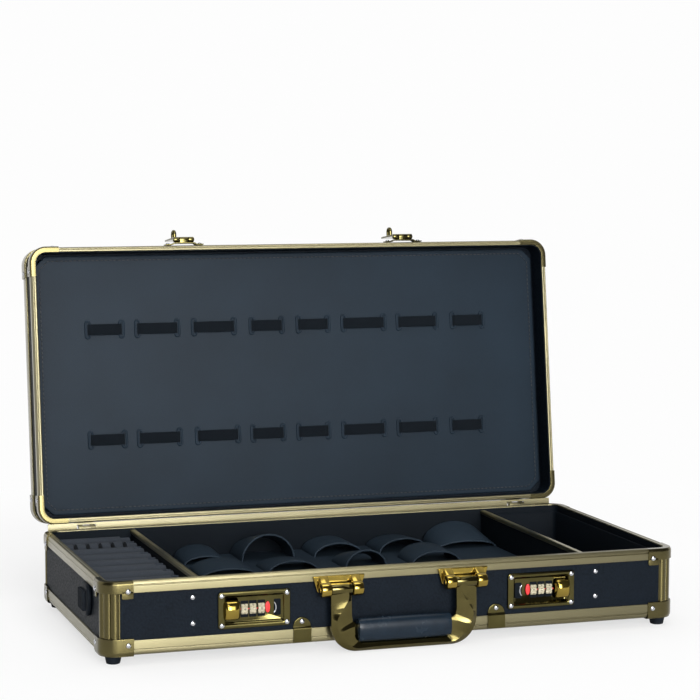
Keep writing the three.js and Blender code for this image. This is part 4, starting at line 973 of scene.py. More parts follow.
# Where each elastic loop starts and ends, left to right
UPPER_LOOPS = (
    (-219.6, -184.3), (-167.8, -125.7), (-107.8, -65.0), (-45.8, -13.2),
    (5.4, 37.4), (55.1, 99.9), (117.0, 159.1), (178.6, 212.1))
LOWER_LOOPS = (
    (-220.3, -185.1), (-169.2, -127.1), (-107.8, -65.0), (-48.3, -15.8),
    (1.8, 33.7), (51.5, 96.1), (113.2, 155.2), (173.7, 207.0))


def elastic_loop(x0, x1, y0, y1, front):
    """One loop of elastic: a flat band that rises by 4.2 sqrt(sin) of the way from slit to slit, less 0.6."""
    steps = 24
    way = arc(0, 1, steps)
    lift = LOOP_RISE * np.sqrt(np.sin(math.pi * way).clip(0)) - 0.6
    x = x0 + (x1 - x0) * way
    path = np.column_stack([x, np.full(steps + 1, (y0 + y1) / 2), front - lift])
    across = np.array([0.0, 1.0, 0.0])
    return swept(flat_band(y1 - y0, 1.2, 0.5), path, across, np.cross(tangents(path), across))


def flat_band(width, thickness, radius):
    """Section of a flat strip with rounded edges, about its middle."""
    x, y = width / 2, thickness / 2
    return filleted([[-x, -y], [x, -y], [x, y], [-x, y]], radius)


def slit_lip(x, y, height, front):
    """Raised rounded lip round a slit: a stadium ring whose section is a low arch."""
    outline = rounded_rectangle(4.2, height, 2.0, 5)
    normals = at_height(outline_normals(outline))
    arch = on_ellipse(arc(0, math.pi, 6), 1.3, 1.2)
    return swept(arch, at_height(outline, front), normals, (0, 0, -1), closed=True).moved(x, y)


def build_elastic():
    front = LID.extent("tool_board")[0][2]
    for node, loops in (("elastic_row_upper", UPPER_LOOPS), ("elastic_row_lower", LOWER_LOOPS)):
        low, high = LID.extent(node)
        bands = [elastic_loop(x0, x1, low[1], high[1], front) for x0, x1 in loops]
        add_piece(node.replace("row", "loops"), joined(bands), LID, "lid", "elastic", [node])
        middle = (low[1] + high[1]) / 2
        lips = [slit_lip(x, middle, high[1] - low[1] + 6, front) for pair in loops for x in pair]
        add_piece(node.replace("row", "slits"), joined(lips), LID, "lid", "leather")


# The compartments

LINER_TOP = 34.5
STRAP_LENGTH = 44.0
STRAP_THICKNESS = 1.8
FOAM_PITCH = 30.0
FOAM_DEPTH = 8.0
FOAM_CREST_Y = 6.0
SLIT_COUNT = 5
SLIT_MARGIN = 12.0
SLIT_HALF = 1.9
SLIT_DEPTH = 22.0
SLIT_FROM_REAR = (12.0, 40.0)
NOTCH_LENGTH = 9.0
NOTCH_HALF = 4.0
NOTCH_DEPTH = 5.0
# Each row of straps: where its front edges lie, then middle, half width, front rise and rear rise of each
STRAP_ROWS = (
    (84.0, ((-126, 22, 8, 12), (-61, 28, 26.5, 17), (13, 26, 13.5, 13), (84, 27, 14.5, 10.5),
            (153, 33, 8, 21))),
    (14.0, ((-121, 28, 8, 11), (-56, 26, 12, 8), (19, 22, 18.5, 9), (93, 26, 13, 14))),
)


def strap_arch(x, half_width, front_rise, rear_rise, y0):
    """A wide strap over a half ellipse whose rise goes from front to rear:
    (x, z) = (x + (w + t) cos a, liner top + (h(y) + t) sin a), with t across its thickness."""
    a = arc(0, math.pi, 48)[:, None]
    half = STRAP_LENGTH / 2
    band = flat_band(STRAP_LENGTH, STRAP_THICKNESS, 0.6)
    along, across = band[None, :, 0], band[None, :, 1] - STRAP_THICKNESS / 2
    rise = front_rise + (rear_rise - front_rise) * (along + half) / STRAP_LENGTH
    px = x + (half_width + across) * np.cos(a)
    pz = LINER_TOP - 0.4 + (rise + 0.4 + across) * np.sin(a)
    return skin(in_space(px, y0 + half + along, pz))


def build_straps():
    low, high = BASE.extent("strap_liner")
    outline = rounded_rectangle(high[0] - low[0], high[1] - low[1], 2.0)
    liner = rounded_slab(outline, low[2], LINER_TOP, 1.0).moved(0, BASE.middle("strap_liner")[1])
    straps = [strap_arch(*strap, y0) for y0, row in STRAP_ROWS for strap in row]
    add_piece("tool_straps", joined(straps + [liner]), BASE, "base", "strap", ["strap_liner"])


def build_lining():
    """Dark lining of the base's walls, from the floor almost up to the lips of the rim."""
    floor_top = BASE.extent("base_floor_panel")[1][2]
    inner = RIM_WIDTH + 0.04
    profile = filleted([
        [inner, floor_top + 0.2], [inner + 0.22, floor_top + 0.2], [inner + 0.22, BASE_TOP - 1.3],
        [inner, BASE_TOP - 1.1]], 0.05, 2)
    add_piece("wall_lining", frame_ring(profile), BASE, "base", "lining")


def build_dividers():
    """The dividers' boards in lining, and a cap of sloping-shouldered channel along the top of each."""
    profile = filleted([
        [-3.0, 3.2], [-3.0, 6.2], [-2.2, 7.0], [2.2, 7.0], [3.0, 6.2],
        [3.0, 3.2], [2.3, 3.2], [2.3, 4.2], [-2.3, 4.2], [-2.3, 3.2]], 0.4)
    for side, _ in SIDES:
        dress_node(f"divider_{side}", "lining")
        low, high = BASE.extent(f"divider_trim_{side}")
        x = (low[0] + high[0]) / 2
        trim = swept(profile, [[x, low[1], low[2]], [x, high[1], low[2]]], (1, 0, 0), (0, 0, 1))
        add_piece(f"divider_channel_{side}", trim, BASE, "base", "gold", [f"divider_trim_{side}"])


def build_foam():
    """Foam block: round ridges, z = top - depth + depth |cos(pi y / pitch)|^0.8, with slits near the rear
    and a notch in each ridge where it meets the divider."""
    low, high = BASE.extent("foam_block")
    x = np.linspace(low[0], high[0], 90)
    y = np.linspace(low[1], high[1], 300)
    gx, gy = np.meshgrid(x, y, indexing="ij")
    from_crest = gy - FOAM_CREST_Y
    wave = np.abs(np.cos(math.pi * from_crest / FOAM_PITCH)) ** 0.8
    height = high[2] - FOAM_DEPTH + FOAM_DEPTH * wave
    slit_x = np.linspace(low[0] + SLIT_MARGIN, high[0] - SLIT_MARGIN, SLIT_COUNT)
    near_slit = np.min(np.abs(gx[..., None] - slit_x), axis=-1)
    near, far = SLIT_FROM_REAR
    in_slit = (near_slit < SLIT_HALF) & (gy > high[1] - far) & (gy < high[1] - near)
    height = np.where(in_slit, high[2] - SLIT_DEPTH, height)
    across_ridge = ((from_crest + FOAM_PITCH / 2) % FOAM_PITCH) - FOAM_PITCH / 2
    in_notch = (gx > high[0] - NOTCH_LENGTH) & (np.abs(across_ridge) < NOTCH_HALF)
    height = np.where(in_notch, height - NOTCH_DEPTH, height)
    block = on_skirt(in_space(gx, gy, height), low[2])
    insert = add_piece("foam_insert", block, BASE, "base", "foam", ["foam_block"])


def on_skirt(top, floor):
    """A block below a height field points[i, j], with upright sides down to a flat floor."""
    nx, ny = top.shape[:2]
    edge = np.concatenate([
        np.arange(ny), np.arange(1, nx) * ny + ny - 1,
        (nx - 1) * ny + np.arange(ny - 2, -1, -1), np.arange(nx - 2, 0, -1) * ny])
    shell = grid(top)
    skirt = shell.points[edge].copy()
    skirt[:, 2] = floor
    below = len(shell.points) + np.arange(len(edge))
    side = np.stack([edge, np.roll(edge, -1), np.roll(below, -1), below], axis=-1)
    block = Shell(np.vstack([shell.points, skirt]), shell.faces + [side[:, ::-1], below[None, :]])
    return block.outward()


def build_bin():
    """Storage bin: outer wall, rounded lip and inner wall lofted from the case's own rounded outline."""
    low, high = BASE.extent("side_bin")
    width, depth = high[0] - low[0], high[1] - low[1]
    x, y, _ = BASE.middle("side_bin")
    insets = (0.6, 0, 0, 0.5, 1.0, 1.5, 2.0, 2.0, 3.2)
    heights = (low[2], low[2] + 1, high[2] - 1, high[2] - 0.2, high[2], high[2] - 0.2, high[2] - 1,
               low[2] + 3.2, low[2] + 2)
    outlines = [rounded_rectangle(width - 2 * i, depth - 2 * i, 7.5 - i) for i in insets]
    add_piece("storage_bin", lofted(outlines, heights).moved(x, y), BASE, "base", "lining", ["side_bin"])


# Locks, worked out about the middle of the plate: X points inboard, Y up, Z out of the front

PLATE_FACE = 2.4
# Back of the dark slabs whose painted shade stands for the slot and the openings round the dials.
SHADE_PATCH_BACK = -6.0
THUMB_X = -21.2
MARK_AT = (12.9, 0.6)
LOCK_WIDTH = 67.5
LOCK_HEIGHT = 33.5
RECESS_WIDTH = 56.0
RECESS_HEIGHT = 26.5
RECESS_FLOOR = -0.8
SLOT_X = 22.2
SLOT_SIZE = (6.6, 15.0)
WINDOW_X = (-8.75, -0.85, 7.05)
WINDOW_SIZE = (7.3, 15.0)
DASH_X = (-12.9, -4.8, 3.1)
NUMERAL_SIZE = 3.2


def lock_plate():
    """Plate with a rounded edge and a recess with sloping sides, lofted from outline to outline."""
    rings = (
        (0.0, 2.4, -1.4), (0.0, 2.4, 1.5), (0.5, 2.2, 2.1), (1.4, 1.9, PLATE_FACE),
    )
    recess = (
        (-0.8, 2.2, PLATE_FACE), (0.0, 2.0, 2.2), (0.5, 1.9, 1.7), (4.2, 1.4, -0.6),
        (5.0, 1.2, RECESS_FLOOR),
    )
    outlines = [rounded_rectangle(LOCK_WIDTH - cut, LOCK_HEIGHT - cut, r) for cut, r, _ in rings]
    outlines += [rounded_rectangle(RECESS_WIDTH - cut, RECESS_HEIGHT - cut, r) for cut, r, _ in recess]
    return lofted(outlines, [z for _, _, z in rings + recess])


def slot_hook():
    """The pale catch that shows in the slot: a crescent that bows inboard."""
    a = arc(-1.15, 1.15, 14)
    path = at_height(on_ellipse(a, 3.2, 5.2) - (3.0, 0.0))
    return swept(flat_band(1.1, 1.0, 0.3), path, at_height(on_ellipse(a)), (0, 0, 1))


def thumb_barrel():
    """Thumb slide: a knob whose section is a half ellipse 17 by 5.4, falling away to its rounded ends."""
    u = arc(-1, 1, 32)[:, None]
    swell = (1 - np.abs(u) ** 4) ** 0.5
    a = arc(0, math.pi, 28)[None]
    y = 8.7 * np.cos(a) * (0.80 + 0.20 * swell)
    z = 2.5 + 5.4 * np.sin(a) * swell
    return skin(in_space(u * 7.4, y, z))


def dial_drum(half_width, radius):
    """Number dial: a drum with a shallow notch between each two numbers, r = radius - 1.1 in the notch."""
    angle = full_turn(80)
    notch = np.clip(1.6 - np.abs(((angle * 10 / (2 * math.pi)) % 1) - 0.5) / 0.14, 0, 1)
    r = np.array([0.35, 0.94, 1.0, 1.0, 0.94, 0.35])[:, None] * radius - 1.1 * notch[None]
    x = np.array([-1, -1, -0.86, 0.86, 1, 1])[:, None] * half_width
    return skin(in_space(x, r * np.cos(angle), r * np.sin(angle)))


def numeral_outlines():
    """The flat meshes of the numerals 0 to 9, in units of their height, centred."""
    found = []
    for number in range(10):
        curve = bpy.data.curves.new(f"numeral_{number}", "FONT")
        curve.body = str(number)
        curve.size = 1.0
        curve.resolution_u = 3
        thing = new_object(f"numeral_{number}", curve)
        bpy.context.view_layer.update()
        mesh = bpy.data.meshes.new_from_object(thing)
        points = np.empty(len(mesh.vertices) * 3)
        mesh.vertices.foreach_get("co", points)
        points = points.reshape(-1, 3)
        points[:, :2] -= (points[:, :2].min(axis=0) + points[:, :2].max(axis=0)) / 2
        mesh.calc_loop_triangles()
        triangles = np.empty(len(mesh.loop_triangles) * 3, int)
        mesh.loop_triangles.foreach_get("vertices", triangles)
        found.append((points[:, :2], triangles.reshape(-1, 3)))
        bpy.data.objects.remove(thing)
        bpy.data.meshes.remove(mesh)
        bpy.data.curves.remove(curve)
    return found


def dial_numerals(radius, outlines):
    """Ten numerals wrapped round the drum: angle = number * 36 degrees + y / radius."""
    shells = []
    r = radius + 0.06
    for number, (flat, triangles) in enumerate(outlines):
        angle = math.radians(36 * number) + flat[:, 1] * NUMERAL_SIZE / radius
        points = np.column_stack([flat[:, 0] * NUMERAL_SIZE * 1.15, r * np.sin(angle), r * np.cos(angle)])
        shells.append(Shell(points, [triangles]))
    return joined(shells)


def build_locks():
    outlines = numeral_outlines()
    for side, sign in SIDES:
        x, _, z = BASE.middle(f"lock_housing_{side}")
        seat = BASE.extent(f"lock_housing_{side}")[0][1] + PLATE_FACE

        def add(name, shells, body, material, stands_for=()):
            """Adds shells that are in the lock's own frame."""
            shell = joined(shells)
            stood = Shell(shell.points[:, [0, 2, 1]] * (-sign, -1, 1), shell.faces).moved(x, seat, z)
            add_piece(f"{name}_{side}", stood.outward(), BASE, body, material, stands_for)

        add("lock_plate", [lock_plate()], "base", "lock_gold", [f"lock_housing_{side}"])
        # Painted shade: thin slabs in the dark lining stand on the recess floor where the slot and the
        # openings round the dials are in shade.
        slot = rounded_slab(rounded_rectangle(*SLOT_SIZE, 1.2), SHADE_PATCH_BACK, RECESS_FLOOR + 0.2, 0.1)
        add("painted_slot_shade", [slot.moved(SLOT_X)], "base", "lining")
        window = rounded_slab(rounded_rectangle(*WINDOW_SIZE, 0.8), SHADE_PATCH_BACK, RECESS_FLOOR + 0.18, 0.1)
        add("painted_window_shade", [window.moved(u) for u in WINDOW_X], "base", "lining")
        add("lock_catch", [slot_hook().moved(SLOT_X - 1.6, 0, -0.4)], "base", "chrome")
        add("lock_mark", [red_oval().moved(*MARK_AT, -0.6)], "base", "red")
        dash = rounded_slab(rounded_rectangle(1.7, 0.9, 0.3), 0, 0.5, 0.15)
        add("index_dashes", [dash.moved(u, 0.2, RECESS_FLOOR + 0.05) for u in DASH_X], "base", "red")
        slide = f"thumb_slide_{side}"
        add("thumb_barrel", [thumb_barrel().moved(THUMB_X)], slide, "brass", [slide])
        for number in (1, 2, 3):
            build_dial(f"lock_dial_{side}_{number}", outlines, number)


def red_oval():
    """Oval mark, 4.6 by 10.4, slightly domed."""
    return rounded_slab(on_ellipse(full_turn(40), 2.3, 5.2), 0, 1.0, 0.5)


def build_dial(node, outlines, number):
    """A dial's drum and its numerals, with another number to the front on each dial."""
    low, high = BASE.extent(node)
    x, y, z = (low + high) / 2
    radius = (high[2] - low[2]) / 2
    drum = dial_drum((high[0] - low[0]) / 2, radius).moved(x, y, z)
    add_piece(f"{node}_drum", drum, BASE, node, "ivory", [node])
    turn = turn_about_x(math.radians(36 * (3 * number + 1) + 90))
    numerals = dial_numerals(radius, outlines).turned(turn).moved(x, y, z)
    add_piece(f"{node}_numerals", numerals, BASE, node, "ink")


# Hasps

HASP_PIN_OUT = 6.3
HASP_RIVET_X = 17.0
HASP_RIVET_BACK = 4.6


def build_hasps():
    pin_y = -HALF_Y - HASP_PIN_OUT
    for side, _ in SIDES:
        x, _, pin_z = LID.middle(f"hasp_base_{side}")
        base = joined(hasp_base_shells()).moved(x, pin_y, pin_z)
        add_piece(f"hasp_strip_{side}", base, LID, "lid", "lock_gold", [f"hasp_base_{side}"])
        centres = [[x + dx, pin_y + HASP_RIVET_BACK, pin_z] for dx in (-HASP_RIVET_X, HASP_RIVET_X)]
        add_piece(f"hasp_rivets_{side}", domes(centres, (0, -1, 0), 2.3, 1.5), LID, "lid", "chrome")
        tongue = joined(hasp_tongue_shells()).moved(x, pin_y, pin_z)
        node = f"hasp_tongue_{side}"
        add_piece(f"hasp_flap_{side}", tongue, LID, node, "lock_gold", [node])


def hasp_base_shells():
    """Strip with two feet and an arched middle, a knuckle and its pin, about the pin axis."""
    half = 20.0
    path = at_height([
        [-half, 5.3], [-13.6, 5.3], [-12.4, 5.0], [-11.2, 4.0], [-10, 3.7], [10, 3.7], [11.2, 4.0],
        [12.4, 5.0], [13.6, 5.3], [half, 5.3]])
    across = np.array([0.0, 0.0, 1.0])
    strip = swept(flat_band(9.6, 1.2, 0.4), path, across, np.cross(across, tangents(path)))
    web = rounded_slab(rounded_rectangle(9, 5.4, 0.6), -3.6, 0, 0.2).turned(OUT_OF_FRONT)
    return [strip, web, rod_x(2.8, -4.5, 4.5, 0, 0), rod_x(1.6, -11.2, 11.2, 0, 0, 0.5)]


def hasp_tongue_shells():
    """Flat tongue with rounded end, turned-up lip and raised bead, two knuckles and the staple loop."""
    outline = [[-10.5, 0.5], [10.5, 0.5], [10.5, 39], [7.5, 43], [-7.5, 43], [-10.5, 39]]
    plate = rounded_slab(filleted(outline, 2.0), 1.0, 2.8, 0.5).turned(OUT_OF_FRONT)
    lip = rod_x(0.9, -7, 7, -2.9, 42.2, 0.4)
    knuckles = [rod_x(2.8, x0, x1, 0, 0) for x0, x1 in ((-10.5, -4.9), (4.9, 10.5))]
    bead = rounded_slab(rounded_rectangle(13.0, 3.4, 1.6), 2.5, 2.95, 0.15)
    return [plate, lip, bead.moved(0, 12.0).turned(OUT_OF_FRONT), staple_loop()] + knuckles


def staple_loop():
    """Staple: a rounded bar bent in a U that stands out of the tongue 40.6 from the pin."""
    a = arc(0, math.pi, 16)
    centre, radius = 40.6, 4.0
    start, bend = -2.4, -8.3
    curve = np.column_stack([bend - radius * np.sin(a), centre + radius * np.cos(a)])
    path = np.vstack([[start, centre + radius], curve, [start, centre - radius]])
    points = np.column_stack([np.zeros(len(path)), path])
    across = np.array([1.0, 0.0, 0.0])
    bar = on_ellipse(full_turn(12), 1.9, 1.3)
    return swept(bar, points, across, np.cross(across, tangents(points)))


# Handle

BAIL_CORNER = 25.0
GRIP_ROD_HALF = 47.5
GRIP_ROD_Z = -38.7
BRACKET_Z = 50.0
LUG_INNER = 10.4
LUG_OUTER = 20.0
PIN_OUT = 9.2
# The bail's inner edge: how far round it each point lies, in stretches of the outer edge, and its x and z
INNER_EDGE = (
    (0, -50.9, 5.0), (0.9, -50.9, -24.5), (1.12, -49.6, -30.5), (1.24, -45.0, -33.0), (1.36, -43.6, -37.0),
    (1.60, -43.2, -43.0), (1.80, -43.0, -47.4), (2.0, -41.6, -49.3), (3.0, 0, -49.3))


def bail_curves(steps):
    """Outer and inner edge of the bail in its own plane, from the left pivot round to the right one."""
    low, high = HANDLE.extent("handle_bail")
    reach, half = -low[2], high[0]
    corner = (on_ellipse(arc(math.pi, math.pi * 1.5, steps)) * BAIL_CORNER
              + (BAIL_CORNER - half, BAIL_CORNER - reach))
    arm = np.linspace(5.0, -reach + BAIL_CORNER, steps, endpoint=False)
    down = np.column_stack([np.full(steps, -half), arm])
    bar = np.linspace(-half + BAIL_CORNER, 0, steps + 1)[1:]
    along = np.column_stack([bar, np.full(steps, -reach)])
    outer = np.vstack([down, corner, along])
    way, x, z = np.array(INNER_EDGE, float).T
    here = np.arange(len(outer))
    inner = np.column_stack([np.interp(here, way * steps, x), np.interp(here, way * steps, z)])
    inner = smoothed(inner, 3)
    mirror = np.array([-1.0, 1.0])
    return np.vstack([outer, outer[-2::-1] * mirror]), np.vstack([inner, inner[-2::-1] * mirror])


def smoothed(line, passes):
    """The rows of a line after passes of (before + 2 here + after) / 4, with its ends kept."""
    line = np.array(line, float)
    for _ in range(passes):
        line[1:-1] = (line[:-2] + 2 * line[1:-1] + line[2:]) / 4
    return line


def bail_strap():
    """Bail: cross-sections run from the outer to the inner edge. The front has two facets that meet in a
    ridge, which crosses each arm on the way down, and the arms bulge half way."""
    outer, inner = bail_curves(48)
    way = 1 - np.abs(np.linspace(-1, 1, len(outer)))
    ridge = np.interp(way, [0, 0.14, 0.30, 0.62, 0.80, 1.0], [0.82, 0.82, 0.20, 0.34, 0.45, 0.45])
    ridge = smoothed(ridge, 14)[:, None]
    share = np.array([0.0, 0.01, 0.07, 0.38, 0.93, 0.99, 1.0, 0.99, 0.93, 0.07, 0.01])
    share = share[None].repeat(len(outer), 0)
    share[:, 3:4] = ridge
    height = np.array([0.0, -1.2, -2.0, -4.6, -2.0, -1.2, 0.0, 1.3, 2.0, 2.0, 1.3])
    flat = outer[:, None] * (1 - share[..., None]) + inner[:, None] * share[..., None]
    bulge = smoothed(np.interp(way, [0, 0.08, 0.30, 0.62, 1.0], [0, 0, 1.2, 0.2, 0]), 40)[:, None]
    y = np.where(height < 0, height[None] - bulge, height[None])
    return skin(in_space(flat[..., 0], y, flat[..., 1]))


def grip_pad():
    """Padded grip: the section is a superellipse of power 2.25, a little fuller in the middle."""
    low, high = HANDLE.extent("handle_grip")
    deep, tall = (high[1:] - low[1:]) / 2
    middle = (low[2] + high[2]) / 2
    u = arc(-1, 1, 48)[:, None]
    a = full_turn(48)[None]
    swell = (1 - np.abs(u) ** 30) ** (1 / 7)
    fullness = swell * (0.965 + 0.035 * np.cos(u * math.pi / 2))

    def wave(ratio):
        return np.sign(ratio) * np.abs(ratio) ** (2 / 2.25)

    y = deep * wave(np.cos(a)) * fullness
    z = middle + tall * wave(np.sin(a)) * fullness
    return skin(in_space(u * high[0], y, z))


def handle_bracket_shells():
    """Bracket: plate with slanted sides, and two lugs with round knuckles and pin ends."""
    plate = filleted([[-25, 11.5], [-20.4, -3.6], [20.4, -3.6], [25, 11.5]], 1.6)
    shells = [rounded_slab(plate, 0.3, 2.6, 0.8).turned(OUT_OF_FRONT)]
    web = filleted([
        [-0.4, 10.8], [-2.4, 11.4], [-9.6, 6.6], [-14.0, 3.0], [-9.4, -6.4], [-2.0, -3.4]], 0.8)
    for side in (-1, 1):
        x0, x1 = sorted((side * LUG_OUTER, side * LUG_INNER))
        shells.append(rod_x(6.7, x0, x1, -PIN_OUT, 0, 1.0, 32))
        pin = sorted((side * (LUG_OUTER - 0.2), side * (LUG_OUTER + 0.9)))
        shells.append(rod_x(2.6, *pin, -PIN_OUT, 0, 0.5))
        lug = rounded_slab(web, x0 + 0.6, x1 - 0.6, 0.7)
        shells.append(Shell(lug.points[:, [2, 0, 1]], lug.faces).outward())
    return shells


def build_handle():
    arms = {side: BASE.middle(f"handle_bracket_{side}")[0] for side, _ in SIDES}
    bail = [bail_strap(), rod_x(2.6, -GRIP_ROD_HALF, GRIP_ROD_HALF, 0, GRIP_ROD_Z)]
    bail += [rod_x(5.0, x - 10.0, x + 10.0, 0, 0, 0.6, 32) for x in arms.values()]
    add_piece("bail_strap", joined(bail), HANDLE, "handle", "bail_gold", ["handle_bail"])
    grip = add_piece("grip_pad", grip_pad(), HANDLE, "handle", "grip", ["handle_grip"])
    for side, x in arms.items():
        bracket = joined(handle_bracket_shells()).moved(x, -HALF_Y, BRACKET_Z)
        add_piece(f"bracket_{side}", bracket, BASE, "base", "brass", [f"handle_bracket_{side}"])


# Clamps, anchors and rivets

CLAMP_HALF = 8.5
CLAMP_DOME_Z = 16.0


def build_clamps():
    """Clamps: a round-topped tab on the panel that steps out over the rail and hangs down its face."""
    top = RAIL_TOP
    dome = on_ellipse(arc(0, math.pi, 16), CLAMP_HALF, CLAMP_HALF) + (0.0, CLAMP_DOME_Z)
    tab = np.vstack([[[-CLAMP_HALF, top - 3.0]], [[CLAMP_HALF, top - 3.0]], dome])
    fold = filleted([
        [1.6, top + 2.6], [0.2, top + 2.6], [-1.5, top + 0.8], [-1.5, 1.6], [-0.2, 1.6], [-0.2, top + 0.2],
        [1.6, top + 0.2]], [0.3, 1.0, 1.2, 0.5, 0.3, 0.3, 0.3])
    for side, _ in SIDES:
        x = BASE.middle(f"edge_clamp_{side}")[0]
        plate = rounded_slab(tab, -1.5, -0.1, 0.5).turned(OUT_OF_FRONT).moved(x, -HALF_Y)
        ends = [[x - CLAMP_HALF, -HALF_Y, 0], [x + CLAMP_HALF, -HALF_Y, 0]]
        hook = swept(fold, ends, (0, 1, 0), (0, 0, 1))
        add_piece(f"clamp_{side}", joined([plate, hook]), BASE, "base", "lock_gold", [f"edge_clamp_{side}"])


def anchor_shells(wide, tall, rise):
    """Block with a sloping front edge and five upright ribs, for half width, half height and rise."""
    outline = filleted([
        [-wide + 6, -tall + 3], [wide - 5, -tall], [wide, -tall + 9], [wide, tall - 7], [wide - 7, tall],
        [-wide + 5, tall], [-wide, tall - 8], [-wide, -tall + 14]], 5.0, 5)
    rib = rounded_slab(rounded_rectangle(2.4, 2 * tall - 13, 1.1), rise - 4.4, rise - 0.1, 1.0)
    ribs = [rib.moved(y, 1) for y in (-8.5, -4.0, 0.5, 5.0, 9.5)]
    return [rounded_slab(outline, 0, rise - 3.4, 1.6)] + ribs


def build_anchors():
    """Moulded shoulder-strap anchors on the side panels."""
    for side, sign in SIDES:
        low, high = BASE.extent(f"strap_anchor_{side}")
        rise, wide, tall = (high - low) / (1, 2, 2)
        _, y, z = (low + high) / 2
        inner = low[0] if sign > 0 else high[0]
        shell = joined(anchor_shells(wide, tall, rise))
        stood = Shell(shell.points[:, [2, 0, 1]] * (sign, 1, 1), shell.faces).outward().moved(inner, y, z)
        add_piece(f"anchor_{side}", stood, BASE, "base", "rubber", [f"strap_anchor_{side}"])


RIVET_REACH = 24.0
BASE_CORNER_RIVETS_Z = (58.1, 9.6)
LID_CORNER_RIVETS_Z = (9.0, 40.0)
LOCK_RIVETS = [(x, z) for x in (-30.5, 30.5) for z in (-13.5, 13.5)]
PANEL_RIVETS = ((196.6, 49.0), (196.6, 25.2))
CLAMP_RIVET_Z = 20.6


def corner_rivets(heights, head):
    """Rivets on both faces of each of the four corners, at these heights."""
    shells = []
    for sign_x, sign_y in CORNER_TURNS:
        x, y = sign_x * (HALF_X + CAP_PROUD), sign_y * (HALF_Y + CAP_PROUD)
        near_x, near_y = sign_x * (HALF_X - RIVET_REACH), sign_y * (HALF_Y - RIVET_REACH)
        shells.append(domes([[x, near_y, z] for z in heights], (sign_x, 0, 0), *head))
        shells.append(domes([[near_x, y, z] for z in heights], (0, sign_y, 0), *head))
    return shells


def build_rivets():
    head = (sizes().rivet_radius / MM, sizes().rivet_height / MM)
    front = -HALF_Y
    centres = []
    for side, sign in SIDES:
        lock_x, _, lock_z = BASE.middle(f"lock_housing_{side}")
        centres += [[lock_x + dx, front - 1.3, lock_z + dz] for dx, dz in LOCK_RIVETS]
        centres += [[sign * x, front + PANEL_INSET, z] for x, z in PANEL_RIVETS]
        centres.append([BASE.middle(f"edge_clamp_{side}")[0], front + 0.1, CLAMP_RIVET_Z])
    on_base = [domes(centres, (0, -1, 0), *head)] + corner_rivets(BASE_CORNER_RIVETS_Z, head)
    add_piece("base_rivets", joined(on_base), BASE, "base", "chrome")
    add_piece("lid_rivets", joined(corner_rivets(LID_CORNER_RIVETS_Z, head)), LID, "lid", "chrome")


# Studio

CAMERA_PLACE = (-695.8, -2073.8, 465.4)
CAMERA_TURN = (-5.31, 1.66, -18.54)
FOCAL_PIXELS = 2268.5
IMAGE_SIZE = 700
SENSOR = 36.0
WHITE = 0.983
ROOM_LEVEL = 0.10
SCREEN_LEVEL = 9.0
BAND_LEVEL = 23.0
FLOOR_WHITE = 0.68
FLOOR_MIRRORED = 0.1
FLOOR_HALF = 9.0
SEEN_FADE = (0.26, 0.85)
MIRRORED_FADE = (0.5, 1.6)


def build_camera():
    camera = bpy.data.cameras.new("studio_camera")
    camera.sensor_width = SENSOR
    camera.lens = FOCAL_PIXELS / IMAGE_SIZE * SENSOR
    camera.clip_end = 50
    thing = new_object("studio_camera", camera)
    pitch, roll, yaw = (math.radians(angle) for angle in CAMERA_TURN)
    turn = Matrix.Rotation(roll, 3, "Y") @ Matrix.Rotation(pitch, 3, "X") @ Matrix.Rotation(yaw, 3, "Z")
    right, forward, up = turn.col[0], turn.col[1], turn.col[2]
    axes = Matrix((right, up, -forward)).transposed()
    place = Vector(BASE.to_row(np.array(CAMERA_PLACE)))
    thing.matrix_world = Matrix.Translation(place) @ axes.to_4x4()
    bpy.context.scene.camera = thing


def build_lamps():
    area_light("key_light", (-0.5, -1.6, 1.45), (-0.1, 0, 0.12), 0.9, 0.6, 5)
    area_light("top_light", (0.1, -0.3, 1.9), (0, 0, 0.1), 1.2, 0.8, 11)
    bpy.context.scene.view_settings.view_transform = "Standard"


def area_light(name, place, target, width, height, power):
    light = bpy.data.lights.new(name, "AREA")
    light.shape = "RECTANGLE"
    light.size = width
    light.size_y = height
    light.energy = power
    thing = new_object(name, light)
    thing.location = place
    direction = Vector(target) - Vector(place)
    thing.rotation_euler = direction.to_track_quat("-Z", "Y").to_euler()


def build_world():
    """A white backdrop behind the case, and before it a dark room with a pale screen and a bright band."""
    world = bpy.data.worlds.new("studio")
    bpy.context.scene.world = world
    world.use_nodes = True
    room = Nodes(world.node_tree)
    direction = room.colour("ShaderNodeTexCoord")
    split = room.node("ShaderNodeSeparateXYZ", {}, {0: direction})
    x, y, z = (Value(room, split.outputs[axis]) for axis in "XYZ")
    behind = room.step(y, 0.0, 0.3)
    screen = room.step(x, -0.55, -0.30) * (1.0 - room.step(x, 0.17, 0.36)) * (1.0 - room.step(z, 0.30, 0.60))
    band = room.step(x, -0.10, 0.02) * (1.0 - room.step(x, 0.15, 0.25))
    front = room.between(screen, ROOM_LEVEL, room.between(band, SCREEN_LEVEL, BAND_LEVEL))
    level = behind * (WHITE - front) + front
    background = world.node_tree.nodes["Background"]
    background.inputs["Color"].default_value = (1, 1, 1, 1)
    world.node_tree.links.new(level.socket, background.inputs["Strength"])


